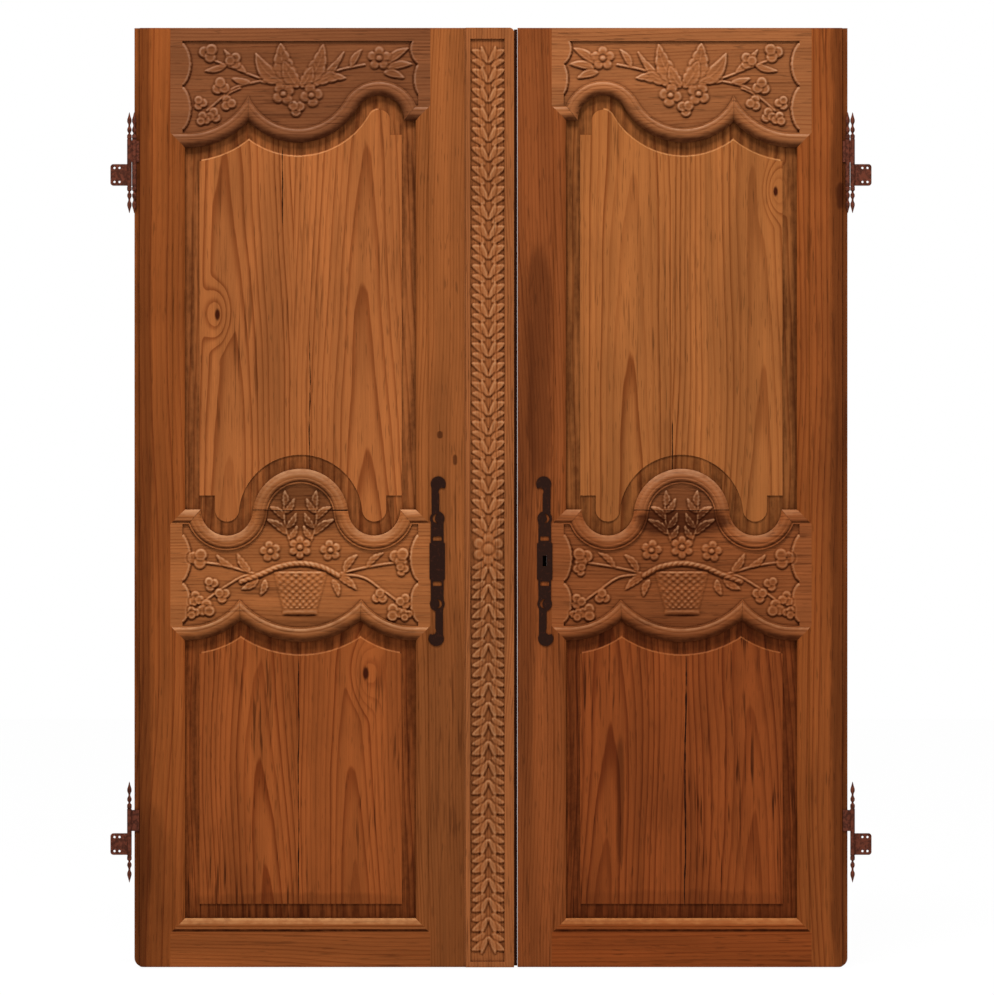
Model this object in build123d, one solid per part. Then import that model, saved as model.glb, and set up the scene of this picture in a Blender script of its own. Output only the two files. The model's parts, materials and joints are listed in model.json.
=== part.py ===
"""Pair of carved, panelled armoire doors with turned hinges and pierced lock plates.

Left leaf coordinates, in millimetres: X runs from the outer lip of the hanging stile towards
the meeting edge, Y runs from the front face into the door, and Z rises from the bottom edge.
The right leaf is the mirror image. The finished pieces are moved so that the origin lies on the
fixing face of the lower left hinge plate.
"""

import os
from math import atan2, cos, degrees, hypot, radians, sin, sqrt

from build123d import *

# Leaf frame
LEAF_HEIGHT = 1872.0
OPENING_WIDTH = 460.0
HANGING_STILE_WIDTH = 101.0
MEETING_STILE_WIDTH = 97.0
LEAF_THICKNESS = 30.0
LIP_WIDTH = 11.0
LIP_SETBACK = 5.0
OUTER_CORNER_RADIUS = 18.0
MEETING_GAP = 7.0

# Moulding worked on the edges that face a panel
MOULDING_WIDTH = 29.0
MOULDING_PROUD = 3.0
MOULDING_QUIRK = 3.0
MOULDING_ROLL_TOP = 8.0
MOULDING_DEPTH = 7.0
SIGHT_WALL = 4.0
SIGHT_SETBACK = 1.0
MITRE_LINE = 0.5
END_FLAT = 6.0

# Tenons of the rails
TENON_LENGTH = 62.0
TENON_THICKNESS = 9.0
TENON_FRONT = 12.0
TENON_SHOULDER = 20.0

# Top rail: sight edge and carved field, with the curve's places as shares of the opening
TOP_RAIL_DEPTH = 238.0
TOP_CUSP_SHARE = 0.274
TOP_SWAG_SHARE = 0.489
TOP_SWAG_LOW = 10.0
TOP_ARCH_INSET_SHARE = 0.1587
TOP_ARCH_RADIUS_SHARE = 0.1087
TOP_HORN_RISE_SHARE = 0.1174
TOP_BAND = 26.0

# Middle rail: sight edges and carved field
MIDDLE_RAIL_LOW = 651.0
MIDDLE_RAIL_HIGH = 912.0
HORN_WIDTH = 31.0
SCOOP_RADIUS = 52.0
CROWN_SINK = 14.4
CUSP_REACH = 110.0
CUSP_RISE = 40.0
SWAG_DROP = 43.0

# Bottom rail
BOTTOM_RAIL = 97.0

# Carved fields of the top and middle rails
CARVING_DEPTH = 4.5
FIELD_MARGIN = 24.0

# Panels
PANEL_FRONT = 14.0
PANEL_THICKNESS = 8.0
PANEL_TONGUE = 9.0
GROOVE_DEPTH = 10.0
GROOVE_SLACK = 0.3
FIELD_INSET = 28.0
FIELD_RAISE = 2.5

# Carved strip on the meeting edge of the left leaf
STRIP_WIDTH = 99.0
STRIP_PROUD = 4.0
STRIP_THICKNESS = 30.0
STRIP_QUIRK = 2.5
STRIP_CHANNEL_WIDTH = 68.0
STRIP_CHANNEL_EDGE = 12.0
STRIP_CHANNEL_TOP = 22.0
STRIP_CORNER_RADIUS = 9.0

# Lock plates
PLATE_LENGTH = 338.0
PLATE_WIDTH = 34.0
PLATE_THICKNESS = 2.0
PLATE_OFFSET = 43.0
PLATE_CENTRE_HEIGHT = 809.0
PLATE_BODY_WIDTH = 30.6
PLATE_BODY_LENGTH = 72.0
PLATE_NECK_WIDTH = 25.0
PLATE_SLOT_WIDTH = 18.0
PLATE_SLOT_HEIGHT = 9.0
PLATE_RING_HEIGHT = 85.0
PLATE_RING_RADIUS = 14.5
PLATE_CRESCENT_RADIUS = 9.5
PLATE_CRESCENT_SHIFT = 5.0
PLATE_STEM_WIDTH = 15.0
PLATE_STEM_SHIFT = -3.8
PLATE_HEAD_RADIUS = 15.0
PLATE_BITE_RADIUS = 7.5
KEYHOLE_WIDTH = 8.0
KEYHOLE_HEIGHT = 22.0

# Hinges: a jamb half with the pin, and a leaf half that turns on it
UPPER_HINGE_DROP = 270.0
LOWER_HINGE_HEIGHT = 268.0
SPINDLE_OUT = 9.6
SPINDLE_STANDOFF = 5.9
SPINDLE_RADIUS = 4.6
TWIN_RADIUS = 4.5
PIN_RADIUS = 2.4
PIN_CLEARANCE = 0.08
PIN_LENGTH = 32.0
BARREL_LENGTH = 48.0
KNUCKLE_LENGTH = 45.0
KNUCKLE_GAP = 0.4
NECK_RADIUS = 2.0
COLLAR_LENGTH = 11.0
BEAD_LENGTH = 16.0
FINIAL_LENGTH = 27.0
LINK_WEB = 4.0
JAMB_PLATE_REACH = 38.0
JAMB_PLATE_HEIGHT = 43.0
JAMB_PLATE_THICKNESS = 2.5
JAMB_PLATE_CORNER = 6.0
SCREW_HOLE_RADIUS = 2.3
SCREW_SPACING_X = 10.0
SCREW_SPACING_Z = 28.0
SCREW_EDGE = 8.0
LEAF_PLATE_WIDTH = 9.5
LEAF_PLATE_THICKNESS = 2.5
LEAF_PLATE_HEIGHT = 42.0

# Worked out from the driving dimensions
SIGHT_LEFT = HANGING_STILE_WIDTH
SIGHT_RIGHT = SIGHT_LEFT + OPENING_WIDTH
LEAF_WIDTH = SIGHT_RIGHT + MEETING_STILE_WIDTH
PAIR_WIDTH = 2 * LEAF_WIDTH + STRIP_WIDTH + MEETING_GAP
PANEL_BACK = PANEL_FRONT + PANEL_THICKNESS
TOP_RAIL_END = LEAF_HEIGHT - TOP_RAIL_DEPTH
TOP_ARCH_INSET = TOP_ARCH_INSET_SHARE * OPENING_WIDTH
TOP_ARCH_RADIUS = TOP_ARCH_RADIUS_SHARE * OPENING_WIDTH
TOP_HORN = TOP_RAIL_END + TOP_HORN_RISE_SHARE * OPENING_WIDTH
HINGE_HEIGHTS = {"upper": LEAF_HEIGHT - UPPER_HINGE_DROP, "lower": LOWER_HINGE_HEIGHT}
SPINDLE_Y = LIP_SETBACK - SPINDLE_STANDOFF
JAMB_PLATE_BACK = SPINDLE_Y + SPINDLE_RADIUS
JAMB_PLATE_MIDDLE = KNUCKLE_GAP + KNUCKLE_LENGTH / 2
SCREW_CENTRE_X = -SPINDLE_OUT - JAMB_PLATE_REACH + SCREW_EDGE + SCREW_SPACING_X / 2
ORIGIN = Vector(SCREW_CENTRE_X, JAMB_PLATE_BACK, LOWER_HINGE_HEIGHT - JAMB_PLATE_MIDDLE)
FAR = 3 * LEAF_HEIGHT


class Run:
    """One line or arc of a panel's sight edge, with the panel on its left and the frame on its right."""

    def __init__(self, member, start, end, centre=None, turn=0):
        self.member, self.start, self.end = member, start, end
        self.centre, self.turn = centre, turn
        self.radius = hypot(start[0] - centre[0], start[1] - centre[1]) if centre else 0.0

    def length(self):
        return hypot(self.end[0] - self.start[0], self.end[1] - self.start[1])

    def direction(self, point):
        """Unit direction of travel at a point of the run."""
        if self.centre:
            x, z = point[0] - self.centre[0], point[1] - self.centre[1]
            size = hypot(x, z)
            return (-self.turn * z / size, self.turn * x / size)
        x, z = self.end[0] - self.start[0], self.end[1] - self.start[1]
        size = hypot(x, z)
        return (x / size, z / size)

    def into_frame(self, point):
        x, z = self.direction(point)
        return (z, -x)

    def runs_on(self, start, end):
        """Whether the way from start to end still follows a straight run."""
        x, z = self.direction(start)
        return bool(self.centre) or (end[0] - start[0]) * x + (end[1] - start[1]) * z > 0

    def offset_radius(self, distance):
        return self.radius + self.turn * distance


def shifted(point, direction, distance):
    return (point[0] + direction[0] * distance, point[1] + direction[1] * distance)


def cross_line_line(p, u, q, v):
    """Where the line through p along u meets the line through q along v."""
    scale = u[0] * v[1] - u[1] * v[0]
    t = ((q[0] - p[0]) * v[1] - (q[1] - p[1]) * v[0]) / scale
    return shifted(p, u, t)


def cross_line_circle(p, u, centre, radius, near):
    along = (centre[0] - p[0]) * u[0] + (centre[1] - p[1]) * u[1]
    foot = shifted(p, u, along)
    half = sqrt(radius**2 - (foot[0] - centre[0]) ** 2 - (foot[1] - centre[1]) ** 2)
    return nearest((shifted(foot, u, half), shifted(foot, u, -half)), near)


def cross_circle_circle(c1, r1, c2, r2, near):
    gap = hypot(c2[0] - c1[0], c2[1] - c1[1])
    u = ((c2[0] - c1[0]) / gap, (c2[1] - c1[1]) / gap)
    along = (gap**2 + r1**2 - r2**2) / (2 * gap)
    half = sqrt(r1**2 - along**2)
    foot, side = shifted(c1, u, along), (-u[1], u[0])
    return nearest((shifted(foot, side, half), shifted(foot, side, -half)), near)


def nearest(points, near):
    return min(points, key=lambda p: hypot(p[0] - near[0], p[1] - near[1]))


def meeting_point(one, other, point, distance):
    """Corner between two runs once both have moved a distance into the frame."""
    d1, d2 = one.direction(point), other.direction(point)
    if abs(d1[0] * d2[1] - d1[1] * d2[0]) < 1e-6:
        return shifted(point, one.into_frame(point), distance)
    if not one.centre and not other.centre:
        p = shifted(one.start, one.into_frame(point), distance)
        q = shifted(other.start, other.into_frame(point), distance)
        return cross_line_line(p, d1, q, d2)
    if one.centre and other.centre:
        r1, r2 = one.offset_radius(distance), other.offset_radius(distance)
        return cross_circle_circle(one.centre, r1, other.centre, r2, point)
    line, arc = (other, one) if one.centre else (one, other)
    start = shifted(line.start, line.into_frame(point), distance)
    near = shifted(point, line.into_frame(point), distance)
    return cross_line_circle(start, line.direction(point), arc.centre, arc.offset_radius(distance), near)


class Opening:
    """The closed sight edge of one panel: bottom, right side, top and left side, in that order."""

    def __init__(self, runs):
        self.runs = runs

    def corners(self, distance):
        """Each run and its first corner at an offset into the frame, without the runs that close up."""
        runs = [run for run in self.runs if run.length() > 1e-6 or distance < 0]
        while True:
            pairs = [(run, self.corner(runs[i - 1], run, distance)) for i, run in enumerate(runs)]
            ends = [start for _, start in pairs[1:] + pairs[:1]]
            kept = [run for (run, start), end in zip(pairs, ends) if run.runs_on(start, end)]
            if len(kept) == len(runs):
                return pairs
            runs = kept

    @staticmethod
    def corner(before, run, distance):
        return meeting_point(before, run, run.start, distance)

    def edges(self, distance, member=None):
        """Edges of the sight line moved into the frame, for the whole loop or one member of the frame."""
        corners = self.corners(distance)
        made = []
        for i, (run, start) in enumerate(corners):
            end = corners[(i + 1) % len(corners)][1]
            if member in (None, run.member):
                made.append(edge_of(run, start, end))
        return made

    def ends(self, distance, member):
        """First and last corner of one member's stretch of the loop."""
        edges = self.edges(distance, member)
        return flat(edges[0] @ 0), flat(edges[-1] @ 1)

    def front_edges(self, member):
        """Edge of the face beside a moulding, lapped under the moulding's flat but for its two corners."""
        edges = self.edges(MOULDING_WIDTH - MOULDING_QUIRK / 2, member)
        first, last = self.ends(MOULDING_WIDTH, member)
        return [Line(first, edges[0] @ 0)] + edges + [Line(edges[-1] @ 1, last)]

    def face(self, distance):
        return make_face(self.edges(distance))


class StraightDrop(Run):
    """A run of no length at the sight edge, with a stated direction, that opens out on the panel side."""

    def __init__(self, member, point, heading):
        super().__init__(member, point, point)
        self.heading = heading

    def direction(self, point):
        return self.heading


def edge_of(run, start, end):
    if not run.centre:
        return Line(start, end)
    a0 = atan2(start[1] - run.centre[1], start[0] - run.centre[0])
    a1 = atan2(end[1] - run.centre[1], end[0] - run.centre[0])
    turn = (a1 - a0) * run.turn % radians(360) * run.turn
    middle = a0 + turn / 2
    radius = hypot(start[0] - run.centre[0], start[1] - run.centre[1])
    return ThreePointArc(start, shifted(run.centre, (cos(middle), sin(middle)), radius), end)


def flat(vector):
    return (vector.X, vector.Y)


def slab(outline, front, back):
    """Plate with a given outline in X and Z, between two depths."""
    return Pos(0, back, 0) * extrude(Plane.XZ * outline, back - front)


def block(x0, x1, y0, y1, z0, z1):
    return Pos((x0 + x1) / 2, (y0 + y1) / 2, (z0 + z1) / 2) * Box(x1 - x0, y1 - y0, z1 - z0)


def closed(*edges):
    """Face bounded by edges that follow one another, closed by straight lines between their ends."""
    joined = []
    for i, edge in enumerate(edges):
        after = edges[(i + 1) % len(edges)]
        joined.append(edge)
        if (edge @ 1 - after @ 0).length > 1e-6:
            joined.append(Line(edge @ 1, after @ 0))
    return make_face(joined)


def upper_opening():
    """Sight edge of the upper panel, from the middle rail's crown to the serpentine top rail."""
    low, high = MIDDLE_RAIL_HIGH, TOP_HORN
    left, right, middle = SIGHT_LEFT, SIGHT_RIGHT, (SIGHT_LEFT + SIGHT_RIGHT) / 2
    scoop_x = HORN_WIDTH + SCOOP_RADIUS
    reach = hypot(OPENING_WIDTH / 2 - scoop_x, CROWN_SINK)
    crown = (middle, low - CROWN_SINK)
    scoops = [(left + scoop_x, low), (right - scoop_x, low)]
    ways = [((scoop[0] - middle) / reach, CROWN_SINK / reach) for scoop in scoops]
    springs = [shifted(crown, way, reach - SCOOP_RADIUS) for way in ways]
    horns = [(left + HORN_WIDTH, low), (right - HORN_WIDTH, low)]
    bottom = [
        Run("bottom", (left, low), horns[0]),
        StraightDrop("bottom", horns[0], (0, -1)),
        Run("bottom", horns[0], springs[0], scoops[0], 1),
        Run("bottom", springs[0], springs[1], crown, -1),
        Run("bottom", springs[1], horns[1], scoops[1], 1),
        StraightDrop("bottom", horns[1], (0, 1)),
        Run("bottom", horns[1], (right, low)),
    ]
    end = TOP_RAIL_END
    arch = (right - TOP_ARCH_INSET, high)
    swag_x = left + TOP_SWAG_SHARE * OPENING_WIDTH
    dx, dz = arch[0] - swag_x, high - end - TOP_SWAG_LOW
    swag_radius = (dx**2 + dz**2 - TOP_ARCH_RADIUS**2) / (2 * (TOP_ARCH_RADIUS + dz))
    swag = (swag_x, end + TOP_SWAG_LOW + swag_radius)
    span = swag_radius + TOP_ARCH_RADIUS
    bend = shifted(arch, ((swag_x - arch[0]) / span, (swag[1] - high) / span), TOP_ARCH_RADIUS)
    cusp_x = left + TOP_CUSP_SHARE * OPENING_WIDTH
    cusp = (cusp_x, swag[1] - sqrt(swag_radius**2 - (swag_x - cusp_x) ** 2))
    run, rise = cusp_x - left - END_FLAT, cusp[1] - end
    sweep_radius = (run**2 + rise**2) / (2 * rise)
    sweep_centre = (left + END_FLAT, end + sweep_radius)
    horn = (arch[0] + TOP_ARCH_RADIUS, high)
    top = [
        Run("top", (right, high), horn),
        StraightDrop("top", horn, (0, 1)),
        Run("top", horn, bend, arch, 1),
        Run("top", bend, cusp, swag, -1),
        Run("top", cusp, (left + END_FLAT, end), sweep_centre, -1),
        Run("top", (left + END_FLAT, end), (left, end)),
    ]
    sides = [Run("right", (right, low), (right, high)), Run("left", (left, end), (left, low))]
    return Opening(bottom + sides[:1] + top + sides[1:])


def lower_opening():
    """Sight edge of the lower panel, from the straight bottom rail to the cusped middle rail."""
    low, high = BOTTOM_RAIL, MIDDLE_RAIL_LOW
    left, right, middle = SIGHT_LEFT, SIGHT_RIGHT, (SIGHT_LEFT + SIGHT_RIGHT) / 2
    run = CUSP_REACH - END_FLAT
    end_radius = (run**2 + CUSP_RISE**2) / (2 * CUSP_RISE)
    half = OPENING_WIDTH / 2 - CUSP_REACH
    swag_radius = (half**2 + SWAG_DROP**2) / (2 * SWAG_DROP)
    cusp_z = high + CUSP_RISE
    cusps = [(right - CUSP_REACH, cusp_z), (left + CUSP_REACH, cusp_z)]
    swag = (middle, cusp_z - SWAG_DROP + swag_radius)
    flats = [(right - END_FLAT, high), (left + END_FLAT, high)]
    top = [
        Run("top", (right, high), flats[0]),
        Run("top", flats[0], cusps[0], (flats[0][0], high + end_radius), -1),
        Run("top", cusps[0], cusps[1], swag, -1),
        Run("top", cusps[1], flats[1], (flats[1][0], high + end_radius), -1),
        Run("top", flats[1], (left, high)),
    ]
    bottom = [Run("bottom", (left, low), (right, low))]
    sides = [Run("right", (right, low), (right, high)), Run("left", (left, high), (left, low))]
    return Opening(bottom + sides[:1] + top + sides[1:])


def moulding_profile(radius=0.0, turn=1):
    """Moulding section, from the sight edge or from an arc's centre into the frame, with depth up."""

    def at(distance, depth):
        return (radius + turn * distance, depth)

    roll = MOULDING_WIDTH - MOULDING_QUIRK
    crest = roll - MOULDING_ROLL_TOP
    rise = at(0.29 * crest, SIGHT_WALL - 0.71 * (SIGHT_WALL + MOULDING_PROUD))
    fall = at(crest + 0.71 * MOULDING_ROLL_TOP, -0.71 * MOULDING_PROUD)
    return closed(
        Line(at(0, MOULDING_DEPTH), at(0, SIGHT_WALL)),
        ThreePointArc(at(0, SIGHT_WALL), rise, at(crest, -MOULDING_PROUD)),
        ThreePointArc(at(crest, -MOULDING_PROUD), fall, at(roll, 0)),
        Line(at(roll, 0), at(MOULDING_WIDTH, 0)),
        Line(at(MOULDING_WIDTH, 0), at(MOULDING_WIDTH, MOULDING_DEPTH)),
    )


def beyond(point, other, away, line):
    """Everything beyond the plane through two points of a mitre, and half of its open line."""
    x, z = other[0] - point[0], other[1] - point[1]
    size = hypot(x, z)
    u, n = (x / size, z / size), (z / size, -x / size)
    if n[0] * away[0] + n[1] * away[1] < 0:
        n = (-n[0], -n[1])
    reach, point = 4 * MOULDING_WIDTH, shifted(point, n, -line / 2)
    a, b = shifted(point, u, reach), shifted(point, u, -reach)
    outline = Polyline(a, b, shifted(b, n, 2 * reach), shifted(a, n, 2 * reach), close=True)
    return slab(make_face(outline), -FAR / 20, FAR / 20)


def moulding_run(run):
    """Moulding along one run, carried on past both ends to be mitred."""
    spare = 2 * MOULDING_WIDTH
    if not run.centre:
        u, n = run.direction(run.start), run.into_frame(run.start)
        start = shifted(run.start, u, -spare)
        plane = Plane((start[0], 0, start[1]), x_dir=(n[0], 0, n[1]), z_dir=(-n[1], 0, n[0]))
        solid = extrude(plane * moulding_profile(), run.length() + 2 * spare, dir=(u[0], 0, u[1]))
        return solid
    cx, cz = run.centre
    a0 = atan2(run.start[1] - cz, run.start[0] - cx)
    a1 = atan2(run.end[1] - cz, run.end[0] - cx)
    swing = (a1 - a0) * run.turn % radians(360)
    spare_angle = spare / run.radius
    first = a0 if run.turn > 0 else a1
    first -= spare_angle
    plane = Plane((cx, 0, cz), x_dir=(cos(first), 0, sin(first)), z_dir=(-sin(first), 0, cos(first)))
    profile = plane * moulding_profile(run.radius, run.turn)
    return revolve(profile, Axis((cx, 0, cz), (0, -1, 0)), degrees(swing + 2 * spare_angle))


def mitre_line(before, after, point):
    """Width of the open line where two runs of one rail meet at an angle."""
    one, two = before.direction(point), after.direction(point)
    bent = abs(one[0] * two[1] - one[1] * two[0]) > 1e-6
    return MITRE_LINE if bent and before.member == after.member else 0.0


def mouldings(opening, member):
    """Mitred mouldings of one frame member along an opening."""
    near, far = opening.corners(0), opening.corners(MOULDING_WIDTH)
    made = []
    for i, (run, start) in enumerate(near):
        if run.member != member:
            continue
        after, end = near[i + 1 - len(near)]
        solid = moulding_run(run)
        back = run.direction(start)
        solid -= beyond(start, far[i][1], (-back[0], -back[1]), mitre_line(near[i - 1][0], run, start))
        solid -= beyond(end, far[i + 1 - len(near)][1], run.direction(end), mitre_line(run, after, end))
        made.append(solid)
    return made


def fused(first, others):
    for solid in others:
        first += solid
    return first


def tenons(low, high):
    """Tenons at both ends of a rail, on the line of the panel grooves."""
    y0, y1 = TENON_FRONT, TENON_FRONT + TENON_THICKNESS
    left = block(SIGHT_LEFT - TENON_LENGTH, SIGHT_LEFT, y0, y1, low, high)
    return [left, block(SIGHT_RIGHT, SIGHT_RIGHT + TENON_LENGTH, y0, y1, low, high)]


def groove(opening):
    """Space for a panel's tongue in the frame around an opening."""
    return slab(opening.face(GROOVE_DEPTH), PANEL_FRONT, PANEL_BACK + GROOVE_SLACK)


FIELD_LEFT = SIGHT_LEFT - MOULDING_WIDTH + FIELD_MARGIN
FIELD_RIGHT = SIGHT_RIGHT + MOULDING_WIDTH - FIELD_MARGIN
SHOULDER_LEFT = SIGHT_LEFT - MOULDING_WIDTH
SHOULDER_RIGHT = SIGHT_RIGHT + MOULDING_WIDTH
BODY_LEFT = SIGHT_LEFT - SIGHT_SETBACK
BODY_RIGHT = SIGHT_RIGHT + SIGHT_SETBACK
TENON_RANGES = {
    "top": (TOP_HORN + MOULDING_WIDTH + TENON_SHOULDER / 2, LEAF_HEIGHT - TOP_BAND),
    "middle": (MIDDLE_RAIL_LOW + 2 * TENON_SHOULDER, MIDDLE_RAIL_HIGH - 2 * TENON_SHOULDER),
    "bottom": (TENON_SHOULDER / 2, BOTTOM_RAIL - TENON_SHOULDER),
}


def carved_field(outline, high):
    """Ground of a carving, sunk into the face inside the mouldings."""
    return slab(outline, -1, CARVING_DEPTH) & block(FIELD_LEFT, FIELD_RIGHT, -FAR, FAR, 0, high)


def top_rail(opening):
    """Serpentine top rail with its mitred moulding and the sunk field for the carving."""
    crown = Line((SHOULDER_LEFT, LEAF_HEIGHT), (SHOULDER_RIGHT, LEAF_HEIGHT))
    face = closed(*opening.front_edges("top"), crown)
    upper_edge = Line((BODY_LEFT, LEAF_HEIGHT), (BODY_RIGHT, LEAF_HEIGHT))
    body = closed(*opening.edges(SIGHT_SETBACK, "top"), upper_edge)
    solid = slab(body, MOULDING_DEPTH, LEAF_THICKNESS) + slab(face, 0, MOULDING_DEPTH)
    solid = fused(solid, mouldings(opening, "top") + tenons(*TENON_RANGES["top"]))
    ground = closed(*opening.edges(MOULDING_WIDTH, "top"), crown)
    return solid - groove(opening) - carved_field(ground, LEAF_HEIGHT - TOP_BAND)


def middle_rail(upper, lower):
    """Middle rail, with its crown cut off above the glue line: returns the plank and the crest."""
    face = closed(*lower.front_edges("top"), *upper.front_edges("bottom"))
    body = closed(*lower.edges(SIGHT_SETBACK, "top"), *upper.edges(SIGHT_SETBACK, "bottom"))
    solid = slab(body, MOULDING_DEPTH, LEAF_THICKNESS) + slab(face, 0, MOULDING_DEPTH)
    shaped = mouldings(lower, "top") + mouldings(upper, "bottom")
    solid = fused(solid, shaped + tenons(*TENON_RANGES["middle"])) - groove(upper) - groove(lower)
    ground = closed(*lower.edges(MOULDING_WIDTH, "top"), *upper.edges(MOULDING_WIDTH, "bottom"))
    solid -= carved_field(ground, LEAF_HEIGHT)
    scoop = HORN_WIDTH + SCOOP_RADIUS
    above = block(SIGHT_LEFT + scoop, SIGHT_RIGHT - scoop, -FAR, FAR, MIDDLE_RAIL_HIGH, LEAF_HEIGHT)
    return solid - above, solid & above


def bottom_rail(opening):
    low = BOTTOM_RAIL - MOULDING_WIDTH
    solid = block(BODY_LEFT, BODY_RIGHT, MOULDING_DEPTH, LEAF_THICKNESS, 0, BOTTOM_RAIL - SIGHT_SETBACK)
    solid += block(SHOULDER_LEFT, SHOULDER_RIGHT, 0, MOULDING_DEPTH, 0, low)
    solid = fused(solid, mouldings(opening, "bottom") + tenons(*TENON_RANGES["bottom"]))
    return solid - groove(opening)


def stile(openings, side, x_outer, x_sight, x_shoulder):
    """A stile: flat face, mitred mouldings, panel grooves and three mortises."""
    x0, x1 = sorted((x_outer, x_sight))
    solid = block(x0, x1, MOULDING_DEPTH, LEAF_THICKNESS, 0, LEAF_HEIGHT)
    x0, x1 = sorted((x_outer, x_shoulder))
    solid += block(x0, x1, 0, MOULDING_DEPTH, 0, LEAF_HEIGHT)
    for opening in openings:
        solid = fused(solid, mouldings(opening, side))
    for opening in openings:
        solid -= groove(opening)
    for low, high in TENON_RANGES.values():
        for tenon in tenons(low, high):
            solid -= tenon
    return solid


def rounded_off(x, z, radius, inward, upward):
    """Waste outside a rounded corner."""
    cx, cz = x + inward * radius, z + upward * radius
    waste = block(min(x, cx), max(x, cx), -FAR, FAR, min(z, cz), max(z, cz))
    return waste - Pos(cx, 0, cz) * Rot(90, 0, 0) * Cylinder(radius, 2 * FAR)


def hanging_stile(openings):
    solid = stile(openings, "left", 0, BODY_LEFT, SHOULDER_LEFT)
    solid -= block(-1, LIP_WIDTH, -FAR, LIP_SETBACK, -1, LEAF_HEIGHT + 1)
    return solid - rounded_off(0, 0, OUTER_CORNER_RADIUS, 1, 1)


def meeting_stile(openings):
    return stile(openings, "right", LEAF_WIDTH, BODY_RIGHT, SHOULDER_RIGHT)


def panel(opening):
    """Panel with a tongue all round and a raised field that echoes the sight edge."""
    return slab(opening.face(PANEL_TONGUE), PANEL_FRONT, PANEL_BACK) + slab(
        opening.face(-FIELD_INSET), PANEL_FRONT - FIELD_RAISE, PANEL_FRONT
    )


def carved_strip():
    """Strip on the meeting edge, with a quirk against the stile and the sunk ground of its carving."""
    x0, x1 = LEAF_WIDTH, LEAF_WIDTH + STRIP_WIDTH
    solid = block(x0, x1, -STRIP_PROUD, STRIP_THICKNESS - STRIP_PROUD, 0, LEAF_HEIGHT)
    solid -= block(x0, x0 + STRIP_QUIRK, -FAR, 0, -1, LEAF_HEIGHT + 1)
    left = x0 + STRIP_CHANNEL_EDGE
    depth = CARVING_DEPTH - STRIP_PROUD
    low, high = STRIP_CHANNEL_TOP / 2, LEAF_HEIGHT - STRIP_CHANNEL_TOP
    solid -= block(left, left + STRIP_CHANNEL_WIDTH, -FAR, depth, low, high)
    return solid - rounded_off(x1, LEAF_HEIGHT, STRIP_CORNER_RADIUS, -1, -1)


PLATE_X = SIGHT_RIGHT + PLATE_OFFSET


def keyhole():
    """Keyhole right through the leaf at the middle of the lock plate."""
    return Pos(PLATE_X, 0, PLATE_CENTRE_HEIGHT) * Box(KEYHOLE_WIDTH, FAR, KEYHOLE_HEIGHT)


def lock_plate_arm():
    """Upper arm of a lock plate: slotted neck, pierced ring, stem and hooked head."""
    ring, head = PLATE_RING_HEIGHT, PLATE_LENGTH / 2 - PLATE_HEAD_RADIUS
    lean = PLATE_WIDTH / 2 - PLATE_HEAD_RADIUS
    arm = Pos(0, ring / 2) * Rectangle(PLATE_NECK_WIDTH, ring)
    arm += Pos(0, ring) * Circle(PLATE_RING_RADIUS)
    arm += Pos(PLATE_STEM_SHIFT, (ring + head) / 2) * Rectangle(PLATE_STEM_WIDTH, head - ring)
    arm += Pos(lean, head) * Circle(PLATE_HEAD_RADIUS)
    arm -= Pos(lean + PLATE_BITE_RADIUS, head - PLATE_HEAD_RADIUS) * Circle(PLATE_BITE_RADIUS)
    crescent = Circle(PLATE_CRESCENT_RADIUS) - Pos(PLATE_CRESCENT_SHIFT, 0) * Circle(PLATE_CRESCENT_RADIUS)
    arm -= Pos(0, ring) * crescent
    slot = PLATE_BODY_LENGTH / 2 + PLATE_SLOT_HEIGHT
    return arm - Pos(0, slot) * Rectangle(PLATE_SLOT_WIDTH, PLATE_SLOT_HEIGHT)


def lock_plate():
    """Pierced strap plate: a plain middle and two arms, one the other turned half round."""
    arm = lock_plate_arm()
    outline = Rectangle(PLATE_BODY_WIDTH, PLATE_BODY_LENGTH) + arm + Rot(0, 0, 180) * arm
    return Pos(PLATE_X, 0, PLATE_CENTRE_HEIGHT) * slab(outline, -PLATE_THICKNESS, 0)


def turned(points):
    """Solid turned about the upright spindle axis from radius and height pairs."""
    edges = Polyline((0, points[0][1]), *points, (0, points[-1][1]), close=True)
    return revolve(Plane.XZ * make_face(edges), Axis.Z)


def finial_points(radius, start, sign):
    """Collar, bead and bud of one spindle end, from the barrel outwards."""
    full, neck = radius, NECK_RADIUS
    collar, bead, bud = start + sign * COLLAR_LENGTH, sign * BEAD_LENGTH, sign * FINIAL_LENGTH
    steps = [(full * 0.72, start), (full, start + sign * 2), (full, collar - sign * 3), (neck, collar)]
    for share, wide in ((0.12, 0.5), (0.35, 0.95), (0.6, 0.95), (0.88, 0.5)):
        steps.append((full * wide, collar + bead * share))
    steps.append((neck, collar + bead))
    for share, wide in ((0.1, 0.5), (0.28, 0.95), (0.45, 0.95), (0.7, 0.5), (0.94, 0.16)):
        steps.append((full * wide, collar + bead + bud * share))
    return steps + [(0.05, collar + bead + bud)]


def spindle(radius, low, high, ends):
    """Round column between two heights, with turned ends where stated."""
    points = [(radius, low), (radius, high)]
    if "low" in ends:
        points = list(reversed(finial_points(radius, low, -1))) + points
    if "high" in ends:
        points = points + finial_points(radius, high, 1)
    return turned(points)


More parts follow.
